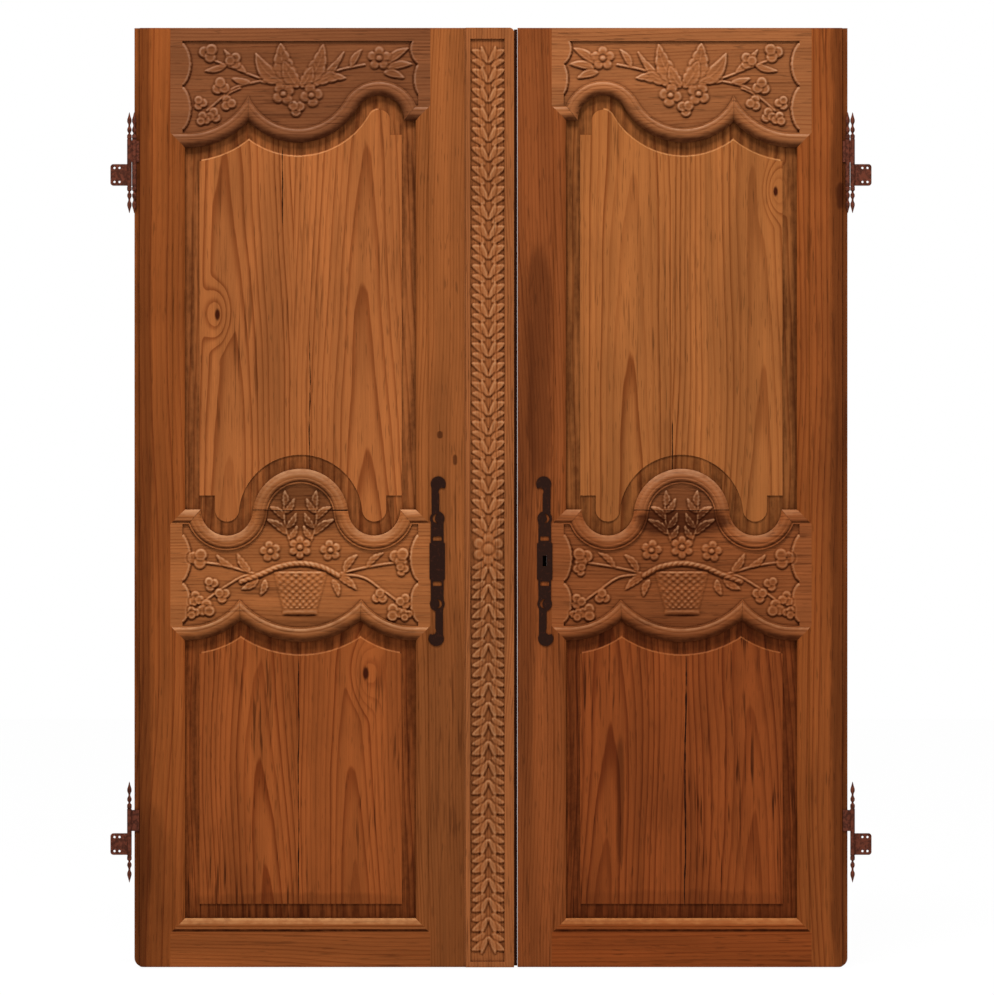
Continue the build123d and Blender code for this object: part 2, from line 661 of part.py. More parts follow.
def hinge(height, twin):
    """Jamb half of a hinge with its pin, and leaf half, which has a second column if it is a twin."""
    axis = Pos(-SPINDLE_OUT, SPINDLE_Y, height)
    top = -KNUCKLE_GAP
    low = top - KNUCKLE_LENGTH
    jamb = axis * spindle(SPINDLE_RADIUS, low, top, ("low",))
    jamb += axis * Pos(0, 0, top + PIN_LENGTH / 2) * Cylinder(PIN_RADIUS, PIN_LENGTH)
    middle = height - JAMB_PLATE_MIDDLE
    plate = Rectangle(JAMB_PLATE_REACH, JAMB_PLATE_HEIGHT)
    corners = [v for v in plate.vertices() if v.X < 0]
    plate = fillet(corners, JAMB_PLATE_CORNER)
    plate = Pos(-SPINDLE_OUT - JAMB_PLATE_REACH / 2, middle) * plate
    holes = Pos(SCREW_CENTRE_X, middle) * GridLocations(SCREW_SPACING_X, SCREW_SPACING_Z, 2, 2)
    plate -= [place * Circle(SCREW_HOLE_RADIUS) for place in holes]
    jamb += slab(plate, JAMB_PLATE_BACK - JAMB_PLATE_THICKNESS, JAMB_PLATE_BACK)
    leaf = axis * spindle(SPINDLE_RADIUS, 0, BARREL_LENGTH, ("high",))
    seat = LIP_SETBACK
    z0 = height + (BARREL_LENGTH - LEAF_PLATE_HEIGHT) / 2
    face = seat - LEAF_PLATE_THICKNESS
    leaf += block(-SPINDLE_OUT, LEAF_PLATE_WIDTH, face, seat, z0, z0 + LEAF_PLATE_HEIGHT)
    if twin:
        column = spindle(TWIN_RADIUS, low, BARREL_LENGTH, ("low", "high"))
        leaf += Pos(0, SPINDLE_Y, height) * column
        web = SPINDLE_Y - LINK_WEB / 2
        leaf += block(-SPINDLE_OUT, 0, web, seat - LEAF_PLATE_THICKNESS / 2, z0, z0 + LEAF_PLATE_HEIGHT)
    depth = PIN_LENGTH + 1
    leaf -= axis * Pos(0, 0, depth / 2 - 0.5) * Cylinder(PIN_RADIUS + PIN_CLEARANCE, depth)
    return jamb, leaf


def leaf_pieces():
    """Pieces that both leaves share, in left leaf coordinates, with the jamb halves of the hinges."""
    upper, lower = upper_opening(), lower_opening()
    plank, crest = middle_rail(upper, lower)
    pieces = {
        "hanging_stile": hanging_stile([upper, lower]),
        "meeting_stile": meeting_stile([upper, lower]),
        "top_rail": top_rail(upper),
        "middle_rail": plank,
        "middle_rail_crest": crest,
        "bottom_rail": bottom_rail(lower),
        "upper_panel": panel(upper),
        "lower_panel": panel(lower),
        "lock_plate": lock_plate(),
    }
    for place, height in HINGE_HEIGHTS.items():
        jamb, leaf = hinge(height, place == "upper")
        pieces[place + "_hinge_jamb_half"] = jamb
        pieces[place + "_hinge_leaf_half"] = leaf
    return pieces


def mirrored(solid):
    return mirror(solid, Plane.YZ.offset(PAIR_WIDTH / 2))


def save(name, solid):
    export_step(Pos(-ORIGIN) * solid, os.path.join("parts", name + ".step"))


def main():
    os.makedirs("parts", exist_ok=True)
    shared = leaf_pieces()
    for name, solid in shared.items():
        save("left_" + name, solid)
    save("left_carved_strip", carved_strip())
    for name in ("lock_plate", "meeting_stile", "middle_rail"):
        shared[name] -= keyhole()
    for name, solid in shared.items():
        save("right_" + name, mirrored(solid))


main()
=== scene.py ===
"""Looks of a pair of carved armoire doors: waxed pine with relief carving, iron hinges and lock plates."""

import json
import logging
import math
from dataclasses import dataclass, replace
from enum import Enum
from itertools import product
from typing import ClassVar

import bpy
import numpy as np
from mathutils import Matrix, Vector

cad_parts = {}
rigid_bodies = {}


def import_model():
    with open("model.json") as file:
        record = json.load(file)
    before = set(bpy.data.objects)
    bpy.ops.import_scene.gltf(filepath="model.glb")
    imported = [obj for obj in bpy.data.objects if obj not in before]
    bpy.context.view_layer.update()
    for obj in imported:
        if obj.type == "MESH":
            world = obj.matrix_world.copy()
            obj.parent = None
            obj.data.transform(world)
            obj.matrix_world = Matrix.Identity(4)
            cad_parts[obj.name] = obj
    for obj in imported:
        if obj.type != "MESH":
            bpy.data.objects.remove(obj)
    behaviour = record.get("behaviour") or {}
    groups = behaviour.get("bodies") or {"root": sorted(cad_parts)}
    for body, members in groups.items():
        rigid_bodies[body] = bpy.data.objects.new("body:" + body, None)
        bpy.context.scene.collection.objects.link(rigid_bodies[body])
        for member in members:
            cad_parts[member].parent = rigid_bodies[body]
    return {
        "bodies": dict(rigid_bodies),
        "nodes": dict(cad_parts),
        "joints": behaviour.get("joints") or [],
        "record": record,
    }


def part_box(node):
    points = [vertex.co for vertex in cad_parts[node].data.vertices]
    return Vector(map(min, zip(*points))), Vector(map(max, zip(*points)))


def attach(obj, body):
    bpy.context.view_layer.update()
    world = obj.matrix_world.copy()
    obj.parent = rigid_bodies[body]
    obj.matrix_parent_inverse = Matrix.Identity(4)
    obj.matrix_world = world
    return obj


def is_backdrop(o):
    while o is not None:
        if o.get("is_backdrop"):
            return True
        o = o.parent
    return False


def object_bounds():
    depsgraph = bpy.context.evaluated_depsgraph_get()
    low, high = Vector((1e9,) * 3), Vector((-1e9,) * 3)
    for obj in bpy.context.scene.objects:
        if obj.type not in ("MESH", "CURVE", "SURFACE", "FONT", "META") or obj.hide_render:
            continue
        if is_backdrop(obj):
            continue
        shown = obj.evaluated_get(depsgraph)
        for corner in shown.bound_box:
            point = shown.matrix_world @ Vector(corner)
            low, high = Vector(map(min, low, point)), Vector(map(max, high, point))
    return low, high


LOG = logging.getLogger("doors")
MM = 0.001
PICTURE_MIDDLE = (0.7576, 0.6909)
FLOOR_GAP = 0.004
SMOOTH_ANGLE = math.radians(34)

Point = tuple[float, float]
Corner = tuple[float, float, float]
Screen = tuple[int, int, int]
Colour = tuple[float, float, float, float]


class Side(Enum):
    """The two leaves of the pair."""

    LEFT = "left"
    RIGHT = "right"

    @property
    def body(self) -> str:
        """Name of the moving body of this leaf."""
        return f"{self.value}_leaf"


class GrainWay(Enum):
    """Which way the boards of a piece run."""

    UPRIGHT = "upright"
    LEVEL = "level"


class Slot(Enum):
    """Material slots of the pack that the scene's own pieces are listed with; nothing here gives them to the pieces.
    """

    FRAME = "frame_wood"
    PANEL = "panel_wood"
    IRON = "dark_iron"


def linear(red: int, green: int, blue: int) -> Colour:
    """Turn a colour seen on screen into the linear values that shaders use.

    Args:
        red: Red from 0 to 255.
        green: Green from 0 to 255.
        blue: Blue from 0 to 255.

    Returns:
        Linear red, green, blue and a full alpha.
    """
    shares = [c / 255 for c in (red, green, blue)]
    values = [s / 12.92 if s <= 0.04045 else ((s + 0.055) / 1.055) ** 2.4 for s in shares]
    return (values[0], values[1], values[2], 1.0)


@dataclass(frozen=True)
class Nodes:
    """Short forms for building one node tree."""

    tree: bpy.types.NodeTree

    def node(self, kind: str, **settings: object) -> bpy.types.Node:
        """Add a node.

        Args:
            kind: Node type without the "ShaderNode" prefix.
            **settings: Properties to set on the node.

        Returns:
            The new node.
        """
        made = self.tree.nodes.new(f"ShaderNode{kind}")
        for key, value in settings.items():
            setattr(made, key, value)
        return made

    def put(self, socket: bpy.types.NodeSocket, value: object) -> None:
        """Link a socket to an output, or set it to a constant.

        Args:
            socket: The input to fill.
            value: An output socket, or a plain value.
        """
        if isinstance(value, bpy.types.NodeSocket):
            self.tree.links.new(value, socket)
        else:
            socket.default_value = value

    def math(self, operation: str, *values: object, clamp: bool = False) -> bpy.types.NodeSocket:
        """Add a Math node.

        Args:
            operation: Name of the operation.
            *values: Up to three inputs.
            clamp: Whether the result stays between 0 and 1.

        Returns:
            The node's output.
        """
        made = self.node("Math", operation=operation, use_clamp=clamp)
        for socket, value in zip(made.inputs, values):
            self.put(socket, value)
        return made.outputs[0]

    def swing(self, noise: object, reach: float) -> bpy.types.NodeSocket:
        """Turn noise about 0.5 into a shift of half the reach to either side."""
        return self.math("MULTIPLY", self.math("SUBTRACT", noise, 0.5), reach)

    def radius(self, one: object, two: object) -> bpy.types.NodeSocket:
        """Length of the vector that has two values as its parts."""
        squares = [self.math("POWER", value, 2.0) for value in (one, two)]
        return self.math("SQRT", self.math("ADD", *squares))

    def blend(self, factor: object, one: object, two: object, way: str = "MIX") -> bpy.types.NodeSocket:
        """Blend two colours.

        Args:
            factor: Share of the second colour.
            one: First colour.
            two: Second colour.
            way: Blend type.

        Returns:
            The blended colour.
        """
        made = self.node("Mix", data_type="RGBA", blend_type=way, clamp_result=False)
        self.put(made.inputs["Factor"], factor)
        self.put(made.inputs[6], one)
        self.put(made.inputs[7], two)
        return made.outputs[2]

    def span(
        self, value: object, low: float, high: float, to_low: float = 0.0, to_high: float = 1.0
    ) -> bpy.types.NodeSocket:
        """Map a value smoothly from one span to another.

        Args:
            value: The value to map.
            low: Start of the span.
            high: End of the span.
            to_low: Result at the start.
            to_high: Result at the end.

        Returns:
            The mapped value.
        """
        made = self.node("MapRange", interpolation_type="SMOOTHSTEP")
        labels = ("Value", "From Min", "From Max", "To Min", "To Max")
        for label, given in zip(labels, (value, low, high, to_low, to_high)):
            self.put(made.inputs[label], given)
        return made.outputs["Result"]

    def parts(self, vector: object) -> tuple[bpy.types.NodeSocket, ...]:
        """Split a vector.

        Args:
            vector: The vector.

        Returns:
            Its x, y and z.
        """
        made = self.node("SeparateXYZ")
        self.put(made.inputs[0], vector)
        return tuple(made.outputs)

    def joined(self, *values: object) -> bpy.types.NodeSocket:
        """Join values into a vector.

        Args:
            *values: Its x, y and z. A value left out is 0.

        Returns:
            The vector.
        """
        made = self.node("CombineXYZ")
        for socket, value in zip(made.inputs, values):
            self.put(socket, value)
        return made.outputs[0]

    def noise(
        self, vector: object, scale: float = 1.0, detail: float = 2.0, rough: float = 0.5
    ) -> bpy.types.NodeSocket:
        """Add a noise texture.

        Args:
            vector: Where it is read.
            scale: Its scale.
            detail: Number of octaves.
            rough: Strength of the finer octaves.

        Returns:
            Noise about 0.5.
        """
        made = self.node("TexNoise")
        for label, given in (("Vector", vector), ("Scale", scale), ("Detail", detail), ("Roughness", rough)):
            self.put(made.inputs[label], given)
        return made.outputs["Fac"]

    def stretched(
        self, place: object, scales: Corner, shift: object = (0.0, 0.0, 0.0), detail: float = 2.0, rough: float = 0.5
    ) -> bpy.types.NodeSocket:
        """Add noise with its own scale along each axis.

        Args:
            place: Where it is read.
            scales: Scale along each axis.
            shift: Vector added to the scaled place.
            detail: Number of octaves.
            rough: Strength of the finer octaves.

        Returns:
            Noise about 0.5.
        """
        moved = self.node("VectorMath", operation="MULTIPLY_ADD")
        for socket, value in zip(moved.inputs, (place, scales, shift)):
            self.put(socket, value)
        return self.noise(moved.outputs[0], 1.0, detail, rough)

    def bump(self, shader: bpy.types.Node, height: object, strength: float, depth: float) -> None:
        """Roughen the surface of a shader.

        Args:
            shader: The shader.
            height: Height of the roughness.
            strength: Its strength.
            depth: Its depth in metres.
        """
        made = self.node("Bump")
        for label, given in (("Strength", strength), ("Distance", depth), ("Height", height)):
            self.put(made.inputs[label], given)
        self.put(shader.inputs["Normal"], made.outputs[0])

    def seen(self) -> bpy.types.NodeSocket:
        """Tell the rays that show a surface, straight or by reflection, from those that light one.

        Returns:
            1 for camera, glossy and transmission rays.
        """
        path = self.node("LightPath").outputs
        mirrored = self.math("MAXIMUM", path["Is Glossy Ray"], path["Is Transmission Ray"])
        return self.math("MAXIMUM", path["Is Camera Ray"], mirrored)


class EffectGroup:
    """A shared shader effect, kept as a node group with named inputs and outputs."""

    name = "Effect"
    inputs: dict[str, object] = {}
    outputs: tuple[str, ...] = ()
    colours: tuple[str, ...] = ()

    def tree(self) -> bpy.types.NodeTree:
        """Make the group once, or find it again.

        Returns:
            The node group.
        """
        known = bpy.data.node_groups.get(self.name)
        if known:
            return known
        made = bpy.data.node_groups.new(self.name, "ShaderNodeTree")
        for label, value in self.inputs.items():
            kind = "NodeSocketFloat"
            if isinstance(value, tuple):
                kind = "NodeSocketColor" if len(value) == 4 else "NodeSocketVector"
            socket = made.interface.new_socket(label, in_out="INPUT", socket_type=kind)
            socket.default_value = value
        for label in self.outputs:
            kind = "NodeSocketColor" if label in self.colours else "NodeSocketFloat"
            made.interface.new_socket(label, in_out="OUTPUT", socket_type=kind)
        nodes = Nodes(made)
        given = made.nodes.new("NodeGroupInput")
        results = made.nodes.new("NodeGroupOutput")
        for label, socket in self.wire(nodes, given.outputs).items():
            nodes.put(results.inputs[label], socket)
        return made

    def wire(self, nodes: Nodes, given: bpy.types.NodeOutputs) -> dict[str, bpy.types.NodeSocket]:
        """Build the inside of the group and give a socket for each of its outputs."""
        raise NotImplementedError

    def use(self, nodes: Nodes, **values: object) -> bpy.types.NodeOutputs:
        """Place the group in a tree.

        Args:
            nodes: Builder for that tree.
            **values: Inputs, with underscores for spaces.

        Returns:
            The outputs of the placed group.
        """
        placed = nodes.node("Group", node_tree=self.tree())
        for key, value in values.items():
            nodes.put(placed.inputs[key.replace("_", " ")], value)
        return placed.outputs


class PineGrain(EffectGroup):
    """Growth rings of a flat sawn pine board: rings about a pith behind the face, wandering along the board."""

    name = "Pine grain"
    inputs = {
        "Place": (0.0, 0.0, 0.0),
        "Pith across": 0.0,
        "Pith depth": 0.05,
        "Pith slope": 0.03,
        "Ring spacing": 0.006,
        "Seed": 0.0,
        "Push": 0.0,
    }
    outputs = ("Late", "Fibre", "Tone", "Fleck")
    ring_peak = 0.93

    def wire(self, nodes: Nodes, given: bpy.types.NodeOutputs) -> dict[str, bpy.types.NodeSocket]:
        """Build the rings, fibres and tone.

        Args:
            nodes: Builder for the group's tree.
            given: The group's inputs.

        Returns:
            Latewood, fibre, tone and fleck values.
        """
        place, seed = given["Place"], given["Seed"]
        shift = nodes.joined(seed, nodes.math("MULTIPLY", seed, 1.7), nodes.math("MULTIPLY", seed, 2.3))
        x, y, z = nodes.parts(place)
        wander = nodes.swing(nodes.stretched(place, (2.2, 2.2, 0.9), shift, 1.5), 0.11)
        ripple = nodes.swing(nodes.stretched(place, (14.0, 14.0, 2.4), shift), 0.012)
        tremble = nodes.swing(nodes.stretched(place, (60.0, 60.0, 6.0), shift), 0.0028)
        across = nodes.math("ADD", nodes.math("SUBTRACT", x, given["Pith across"]), wander)
        deep = nodes.math("MULTIPLY_ADD", z, given["Pith slope"], given["Pith depth"])
        deep = nodes.math("ADD", nodes.math("ADD", deep, y), ripple)
        radius = nodes.math("ADD", nodes.radius(across, deep), tremble)
        turns = nodes.math("DIVIDE", nodes.math("ADD", radius, given["Push"]), given["Ring spacing"])
        phase = nodes.math("FRACT", turns)
        white = nodes.node("TexWhiteNoise", noise_dimensions="1D")
        nodes.put(white.inputs["W"], nodes.math("ADD", nodes.math("FLOOR", turns), seed))
        strength = nodes.span(white.outputs["Value"], 0.0, 1.0, 0.35, 1.0)
        rise = nodes.math("POWER", nodes.span(phase, 0.25, self.ring_peak), 2.2)
        fall = nodes.span(phase, self.ring_peak, 1.0, 1.0, 0.0)
        late = nodes.math("MULTIPLY", nodes.math("MULTIPLY", rise, fall), strength)
        fibre = nodes.stretched(place, (700.0, 700.0, 9.0), shift, 3.0, 0.6)
        fleck = nodes.stretched(place, (330.0, 330.0, 24.0), shift, 1.0)
        tone = nodes.stretched(place, (26.0, 26.0, 1.6), shift)
        return {"Late": late, "Fibre": fibre, "Tone": tone, "Fleck": nodes.span(fleck, 0.62, 0.74)}


class OldWaxAndShading(EffectGroup):
    """Wax of many years: soiling and painted shade in hollows and on sides that face down, rubbing and painted light
    on high places and sides that face up, and blotches over the whole surface.
    """

    name = "Old wax and shading"
    inputs = {
        "Place": (0.0, 0.0, 0.0),
        "Wood": (0.3, 0.1, 0.03, 1.0),
        "Dirt": (0.03, 0.01, 0.004, 1.0),
        "Rubbed": (0.5, 0.22, 0.09, 1.0),
        "Wear": 0.0,
        "Blotch": 0.3,
        "Streaks": 0.4,
        "Seed": 0.0,
    }
    outputs = ("Colour", "Roughness")
    colours = ("Colour",)

    def wire(self, nodes: Nodes, given: bpy.types.NodeOutputs) -> dict[str, bpy.types.NodeSocket]:
        """Build the layers of soiling, rubbing and painted light and shade.

        Args:
            nodes: Builder for the group's tree.
            given: The group's inputs.

        Returns:
            The colour with its soiling, rubbing and painted light and shade, and its roughness.
        """
        place, shift = given["Place"], nodes.joined(given["Seed"], given["Seed"])
        patch = nodes.stretched(place, (7.0, 7.0, 4.0), shift, 4.0, 0.6)
        # Noise that varies how strongly soiling, painted shade, rubbing and painted light show.
        grime_and_shade = nodes.stretched(place, (90.0, 90.0, 60.0), shift, 3.0, 0.6)
        streak = nodes.stretched(place, (170.0, 170.0, 8.0), shift)
        zone = nodes.stretched(place, (9.0, 9.0, 4.0), shift, 3.0)
        cloud = nodes.math("MULTIPLY", nodes.span(patch, 0.42, 0.7), given["Blotch"])
        # Soiling and painted shade: below 0 the colour turns towards the dark colour.
        hollow = nodes.math("MULTIPLY", given["Wear"], -1.0, clamp=True)
        hollow = nodes.math("MULTIPLY", hollow, nodes.span(grime_and_shade, 0.2, 0.75, 0.65, 1.0), clamp=True)
        # Rubbing and painted light: above 0 the colour turns towards the pale colour.
        high = nodes.math("MULTIPLY", given["Wear"], nodes.span(grime_and_shade, 0.3, 0.7, 0.45, 1.0), clamp=True)
        scuff = nodes.math("MULTIPLY", nodes.span(streak, 0.54, 0.68), nodes.span(zone, 0.47, 0.64))
        colour = nodes.blend(cloud, given["Wood"], given["Dirt"])
        colour = nodes.blend(nodes.math("MULTIPLY", scuff, given["Streaks"]), colour, given["Dirt"])
        colour = nodes.blend(high, colour, given["Rubbed"])
        colour = nodes.blend(hollow, colour, given["Dirt"])
        rough = nodes.math("MULTIPLY_ADD", grime_and_shade, 0.14, nodes.math("MULTIPLY_ADD", hollow, 0.2, 0.4))
        return {"Colour": colour, "Roughness": rough}


class Crack(EffectGroup):
    """A shrinkage crack that wanders along the grain."""

    name = "Crack"
    inputs = {"Place": (0.0, 0.0, 0.0), "Across": 0.0, "From": 0.0, "To": 1.0, "Width": 0.001, "Wander": 0.009}
    outputs = ("Mask",)

    def wire(self, nodes: Nodes, given: bpy.types.NodeOutputs) -> dict[str, bpy.types.NodeSocket]:
        """Build the wandering line.

        Args:
            nodes: Builder for the group's tree.
            given: The group's inputs.

        Returns:
            A mask that is 1 in the crack.
        """
        across, _, along = nodes.parts(given["Place"])
        line = nodes.joined(nodes.math("MULTIPLY", given["Across"], 10.0), 0.0, along)
        slow = nodes.math("SUBTRACT", nodes.noise(line, 7.0, 3.0), 0.5)
        wide = nodes.span(nodes.noise(line, 30.0, 2.0), 0.3, 0.7, 0.35, 1.2)
        off = nodes.math("SUBTRACT", across, given["Across"])
        off = nodes.math("ABSOLUTE", nodes.math("MULTIPLY_ADD", slow, given["Wander"], off))
        middle = nodes.math("MULTIPLY", nodes.math("ADD", given["From"], given["To"]), 0.5)
        half = nodes.math("MULTIPLY", nodes.math("SUBTRACT", given["To"], given["From"]), 0.5)
        share = nodes.math("DIVIDE", nodes.math("ABSOLUTE", nodes.math("SUBTRACT", along, middle)), half)
        width = nodes.math("MULTIPLY", given["Width"], wide)
        width = nodes.math("MULTIPLY", width, nodes.span(share, 0.75, 1.0, 1.0, 0.0))
        return {"Mask": nodes.math("LESS_THAN", off, nodes.math("MULTIPLY", width, 0.5))}


class Stain(EffectGroup):
    """A soft dark stain with a ragged edge."""

    name = "Stain"
    inputs = {"Place": (0.0, 0.0, 0.0), "Across": 0.0, "Along": 0.0, "Half width": 0.02, "Half length": 0.2}
    outputs = ("Mask",)

    def wire(self, nodes: Nodes, given: bpy.types.NodeOutputs) -> dict[str, bpy.types.NodeSocket]:
        """Build the stain.

        Args:
            nodes: Builder for the group's tree.
            given: The group's inputs.

        Returns:
            A mask that is 1 in the middle of the stain.
        """
        across, _, along = nodes.parts(given["Place"])
        ragged = nodes.stretched(given["Place"], (60.0, 60.0, 9.0), detail=4.0, rough=0.65)
        aside = nodes.math("DIVIDE", nodes.math("SUBTRACT", across, given["Across"]), given["Half width"])
        ahead = nodes.math("DIVIDE", nodes.math("SUBTRACT", along, given["Along"]), given["Half length"])
        aside = nodes.math("POWER", nodes.math("ABSOLUTE", aside), 2.0)
        ahead = nodes.math("POWER", nodes.math("ABSOLUTE", ahead), 4.0)
        far = nodes.math("ADD", aside, ahead)
        far = nodes.math("MULTIPLY_ADD", nodes.math("SUBTRACT", ragged, 0.5), 1.4, far)
        return {"Mask": nodes.span(far, 0.25, 1.05, 1.0, 0.0)}


@dataclass(frozen=True)
class Knot:
    """A knot in a board, in metres.

    Attributes:
        across: Place across the board.
        along: Place along the board.
        radius: Its radius.
        flat: How far it is drawn out along the board, less for longer.
        reach: How many radii away the rings still bend.
        push: How far the rings bend.
        core: Share of the radius that is fully dark.
    """

    across: float
    along: float
    radius: float = 0.006
    flat: float = 0.45
    reach: float = 6.0
    push: float = 0.03
    core: float = 0.45


@dataclass(frozen=True)
class Split:
    """A crack along a board, in metres."""

    across: float
    start: float
    end: float
    width: float = 0.0012
    wander: float = 0.009


@dataclass(frozen=True)
class Smudge:
    """A dark stain on a board, in metres, with its strength."""

    across: float
    along: float
    half_width: float
    half_length: float
    strength: float = 0.5


@dataclass(frozen=True)
class Finish:
    """A finish that makes its material once.

    Attributes:
        name: Name of the material.
    """

    name: str = ""

    def material(self) -> bpy.types.Material:
        """Make the material, or find it again.

        Returns:
            The material.
        """
        known = bpy.data.materials.get(self.name)
        if known:
            return known
        made = bpy.data.materials.new(self.name)
        made.use_nodes = True
        self.paint(Nodes(made.node_tree), made.node_tree.nodes["Principled BSDF"])
        return made

    def paint(self, nodes: Nodes, shader: bpy.types.Node) -> None:
        """Wire the material's nodes to its shader."""
        raise NotImplementedError


@dataclass(frozen=True)
class PineFinish(Finish):
    """Waxed pine of one board, with its own colour, grain and marks, and painted light and shade.

    Attributes:
        tone: Mean colour of the board as it is seen.
        contrast: How far the dark and the pale of a ring lie from the mean.
        way: Which way the board runs.
        pith: Where the pith lies across the board and how deep behind the face, in metres.
        slope: How fast the pith moves away along the board.
        spacing: Width of a ring in metres.
        seed: Place in the noise.
        blotch: Strength of the dark blotches.
        streaks: Strength of the scuffs along the grain.
        rub_and_sheen: How far the upper sides of the mouldings are made paler, partly by rubbing and partly as
            painted highlight.
        facing_shading: How strongly sides that face up are painted paler and sides that face down darker, as light
            and shade from above.
        margin: How dark the sunk margin of a panel is painted, as shade.
        joint: Where a second board begins across the piece, and where its pith lies.
        grime_and_shade_reach: How far soiling and painted shade reach out of the corners, in metres.
        knots: Knots in the board.
        splits: Cracks in the board.
        smudges: Stains on the board.
        dirt_and_shade: Colour of old soiling, also used as painted shade in hollows, corners and on sides that face
            down.
        knot_dark: Colour of a knot's heart.
        split_dark: Colour inside a crack.
        pale_share: How much paler the early wood is at full contrast.
        dark_share: How much darker the late wood is at full contrast.
        rubbed_and_lit_share: How much paler rubbed wood and painted highlight are.
        joint_seed: How far the second board lies away in the noise.
        crest_depth: Depths between which the rubbing and painted highlight of the mouldings' crests fade.
        margin_front: Depths between which the painted shade of a panel's margin begins.
        margin_back: Depths between which it ends again.
        stain_back: Depths between which stains end, so that the backs stay clean.
    """

    tone: Screen = (150, 82, 38)
    contrast: float = 1.0
    way: GrainWay = GrainWay.UPRIGHT
    pith: Point = (0.3, 0.06)
    slope: float = 0.03
    spacing: float = 0.007
    seed: float = 0.0
    blotch: float = 0.13
    streaks: float = 0.45
    rub_and_sheen: float = 0.3
    facing_shading: float = 1.0
    margin: float = 0.0
    joint: Point | None = None
    grime_and_shade_reach: float = 0.014
    knots: tuple[Knot, ...] = ()
    splits: tuple[Split, ...] = ()
    smudges: tuple[Smudge, ...] = ()
    dirt_and_shade: ClassVar[Screen] = (50, 16, 3)
    knot_dark: ClassVar[Screen] = (62, 22, 6)
    split_dark: ClassVar[Screen] = (34, 13, 5)
    pale_share: ClassVar[float] = 0.08
    dark_share: ClassVar[float] = 0.36
    rubbed_and_lit_share: ClassVar[float] = 1.32
    joint_seed: ClassVar[float] = 4.37
    crest_depth: ClassVar[Point] = (-0.0071, -0.0048)
    margin_front: ClassVar[Point] = (0.0086, 0.0099)
    margin_back: ClassVar[Point] = (0.011, 0.013)
    stain_back: ClassVar[Point] = (0.011, 0.014)

    def shade(self, share: float) -> Colour:
        """Lighten or darken the mean colour.

        Args:
            share: Factor on the screen colour: darker wood is redder, and paler wood is greyer.

        Returns:
            The linear colour.
        """
        powers = (1.0, 1.5, 2.1) if share < 1 else (1.0, 1.9, 3.0)
        red, green, blue = (min(255, round(c * share**p)) for c, p in zip(self.tone, powers))
        return linear(red, green, blue)

    def paint(self, nodes: Nodes, shader: bpy.types.Node) -> None:
        """Lay grain, marks, the wax with its soiling and rubbing, and painted light and shade over each other.

        Args:
            nodes: Builder for the material's tree.
            shader: Its shader.
        """
        where = self.board_place(nodes)
        across, depth, along = nodes.parts(where)
        push, heart = self.knotted(nodes, across, along)
        grain = self.grain(nodes, where, across, push)
        wood = nodes.blend(heart, self.ringed(nodes, grain), linear(*self.knot_dark))
        aged_and_shaded = OldWaxAndShading().use(
            nodes, Place=where, Wood=self.marked(nodes, wood, where, depth), Dirt=linear(*self.dirt_and_shade),
            Rubbed=self.shade(self.rubbed_and_lit_share), Wear=self.wear_and_shading(nodes), Blotch=self.blotch, Streaks=self.streaks,
            Seed=self.seed,
        )
        nodes.put(shader.inputs["Base Color"], aged_and_shaded["Colour"])
        nodes.put(shader.inputs["Roughness"], aged_and_shaded["Roughness"])
        nodes.put(shader.inputs["Specular IOR Level"], 0.03)
        nodes.bump(shader, nodes.math("ADD", grain["Fibre"], grain["Late"]), 0.22, 0.0006)

    def knotted(self, nodes: Nodes, across: object, along: object) -> tuple[object, object]:
        """Bend the rings around the knots.

        Args:
            nodes: Builder for the material's tree.
            across: Place across the board.
            along: Place along the board.

        Returns:
            How far the rings are pushed, and a mask that is 1 in the knots' hearts.
        """
        push: object = 0.0
        heart: object = 0.0
        for knot in self.knots:
            aside = nodes.math("SUBTRACT", across, knot.across)
            ahead = nodes.math("MULTIPLY", nodes.math("SUBTRACT", along, knot.along), knot.flat)
            far = nodes.radius(aside, ahead)
            push = nodes.math("ADD", push, nodes.span(far, 0.0, knot.radius * knot.reach, knot.push, 0.0))
            core = nodes.span(far, knot.radius * knot.core, knot.radius, 1.0, 0.0)
            heart = nodes.math("MAXIMUM", heart, core)
        return push, heart

    def grain(self, nodes: Nodes, where: object, across: object, push: object) -> bpy.types.NodeOutputs:
        """Place the grain of the board, or of two boards that meet.

        Args:
            nodes: Builder for the material's tree.
            where: Place in the board.
            across: Place across the board.
            push: How far the rings are pushed.

        Returns:
            The outputs of the grain.
        """
        pith: object = self.pith[0]
        seed: object = self.seed
        if self.joint:
            second = nodes.math("GREATER_THAN", across, self.joint[0])
            pith = nodes.math("MULTIPLY_ADD", second, self.joint[1] - self.pith[0], self.pith[0])
            seed = nodes.math("MULTIPLY_ADD", second, self.joint_seed, self.seed)
        return PineGrain().use(
            nodes, Place=where, Pith_across=pith, Pith_depth=self.pith[1], Pith_slope=self.slope,
            Ring_spacing=self.spacing, Seed=seed, Push=push,
        )

    def ringed(self, nodes: Nodes, grain: bpy.types.NodeOutputs) -> bpy.types.NodeSocket:
        """Colour the grain.

        Args:
            nodes: Builder for the material's tree.
            grain: The outputs of the grain.

        Returns:
            The colour of the bare wood.
        """
        pale = self.shade(1 + self.pale_share * self.contrast)
        dark = self.shade(1 - self.dark_share * self.contrast)
        tone = nodes.span(grain["Tone"], 0.25, 0.75, 0.82, 1.14)
        light = nodes.math("MULTIPLY", tone, nodes.span(grain["Fibre"], 0.2, 0.8, 0.86, 1.12))
        light = nodes.math("MULTIPLY", light, nodes.math("MULTIPLY_ADD", grain["Fleck"], -0.34, 1.0))
        grey = nodes.node("CombineColor")
        for socket in grey.inputs:
            nodes.put(socket, light)
        return nodes.blend(1.0, nodes.blend(grain["Late"], pale, dark), grey.outputs[0], "MULTIPLY")

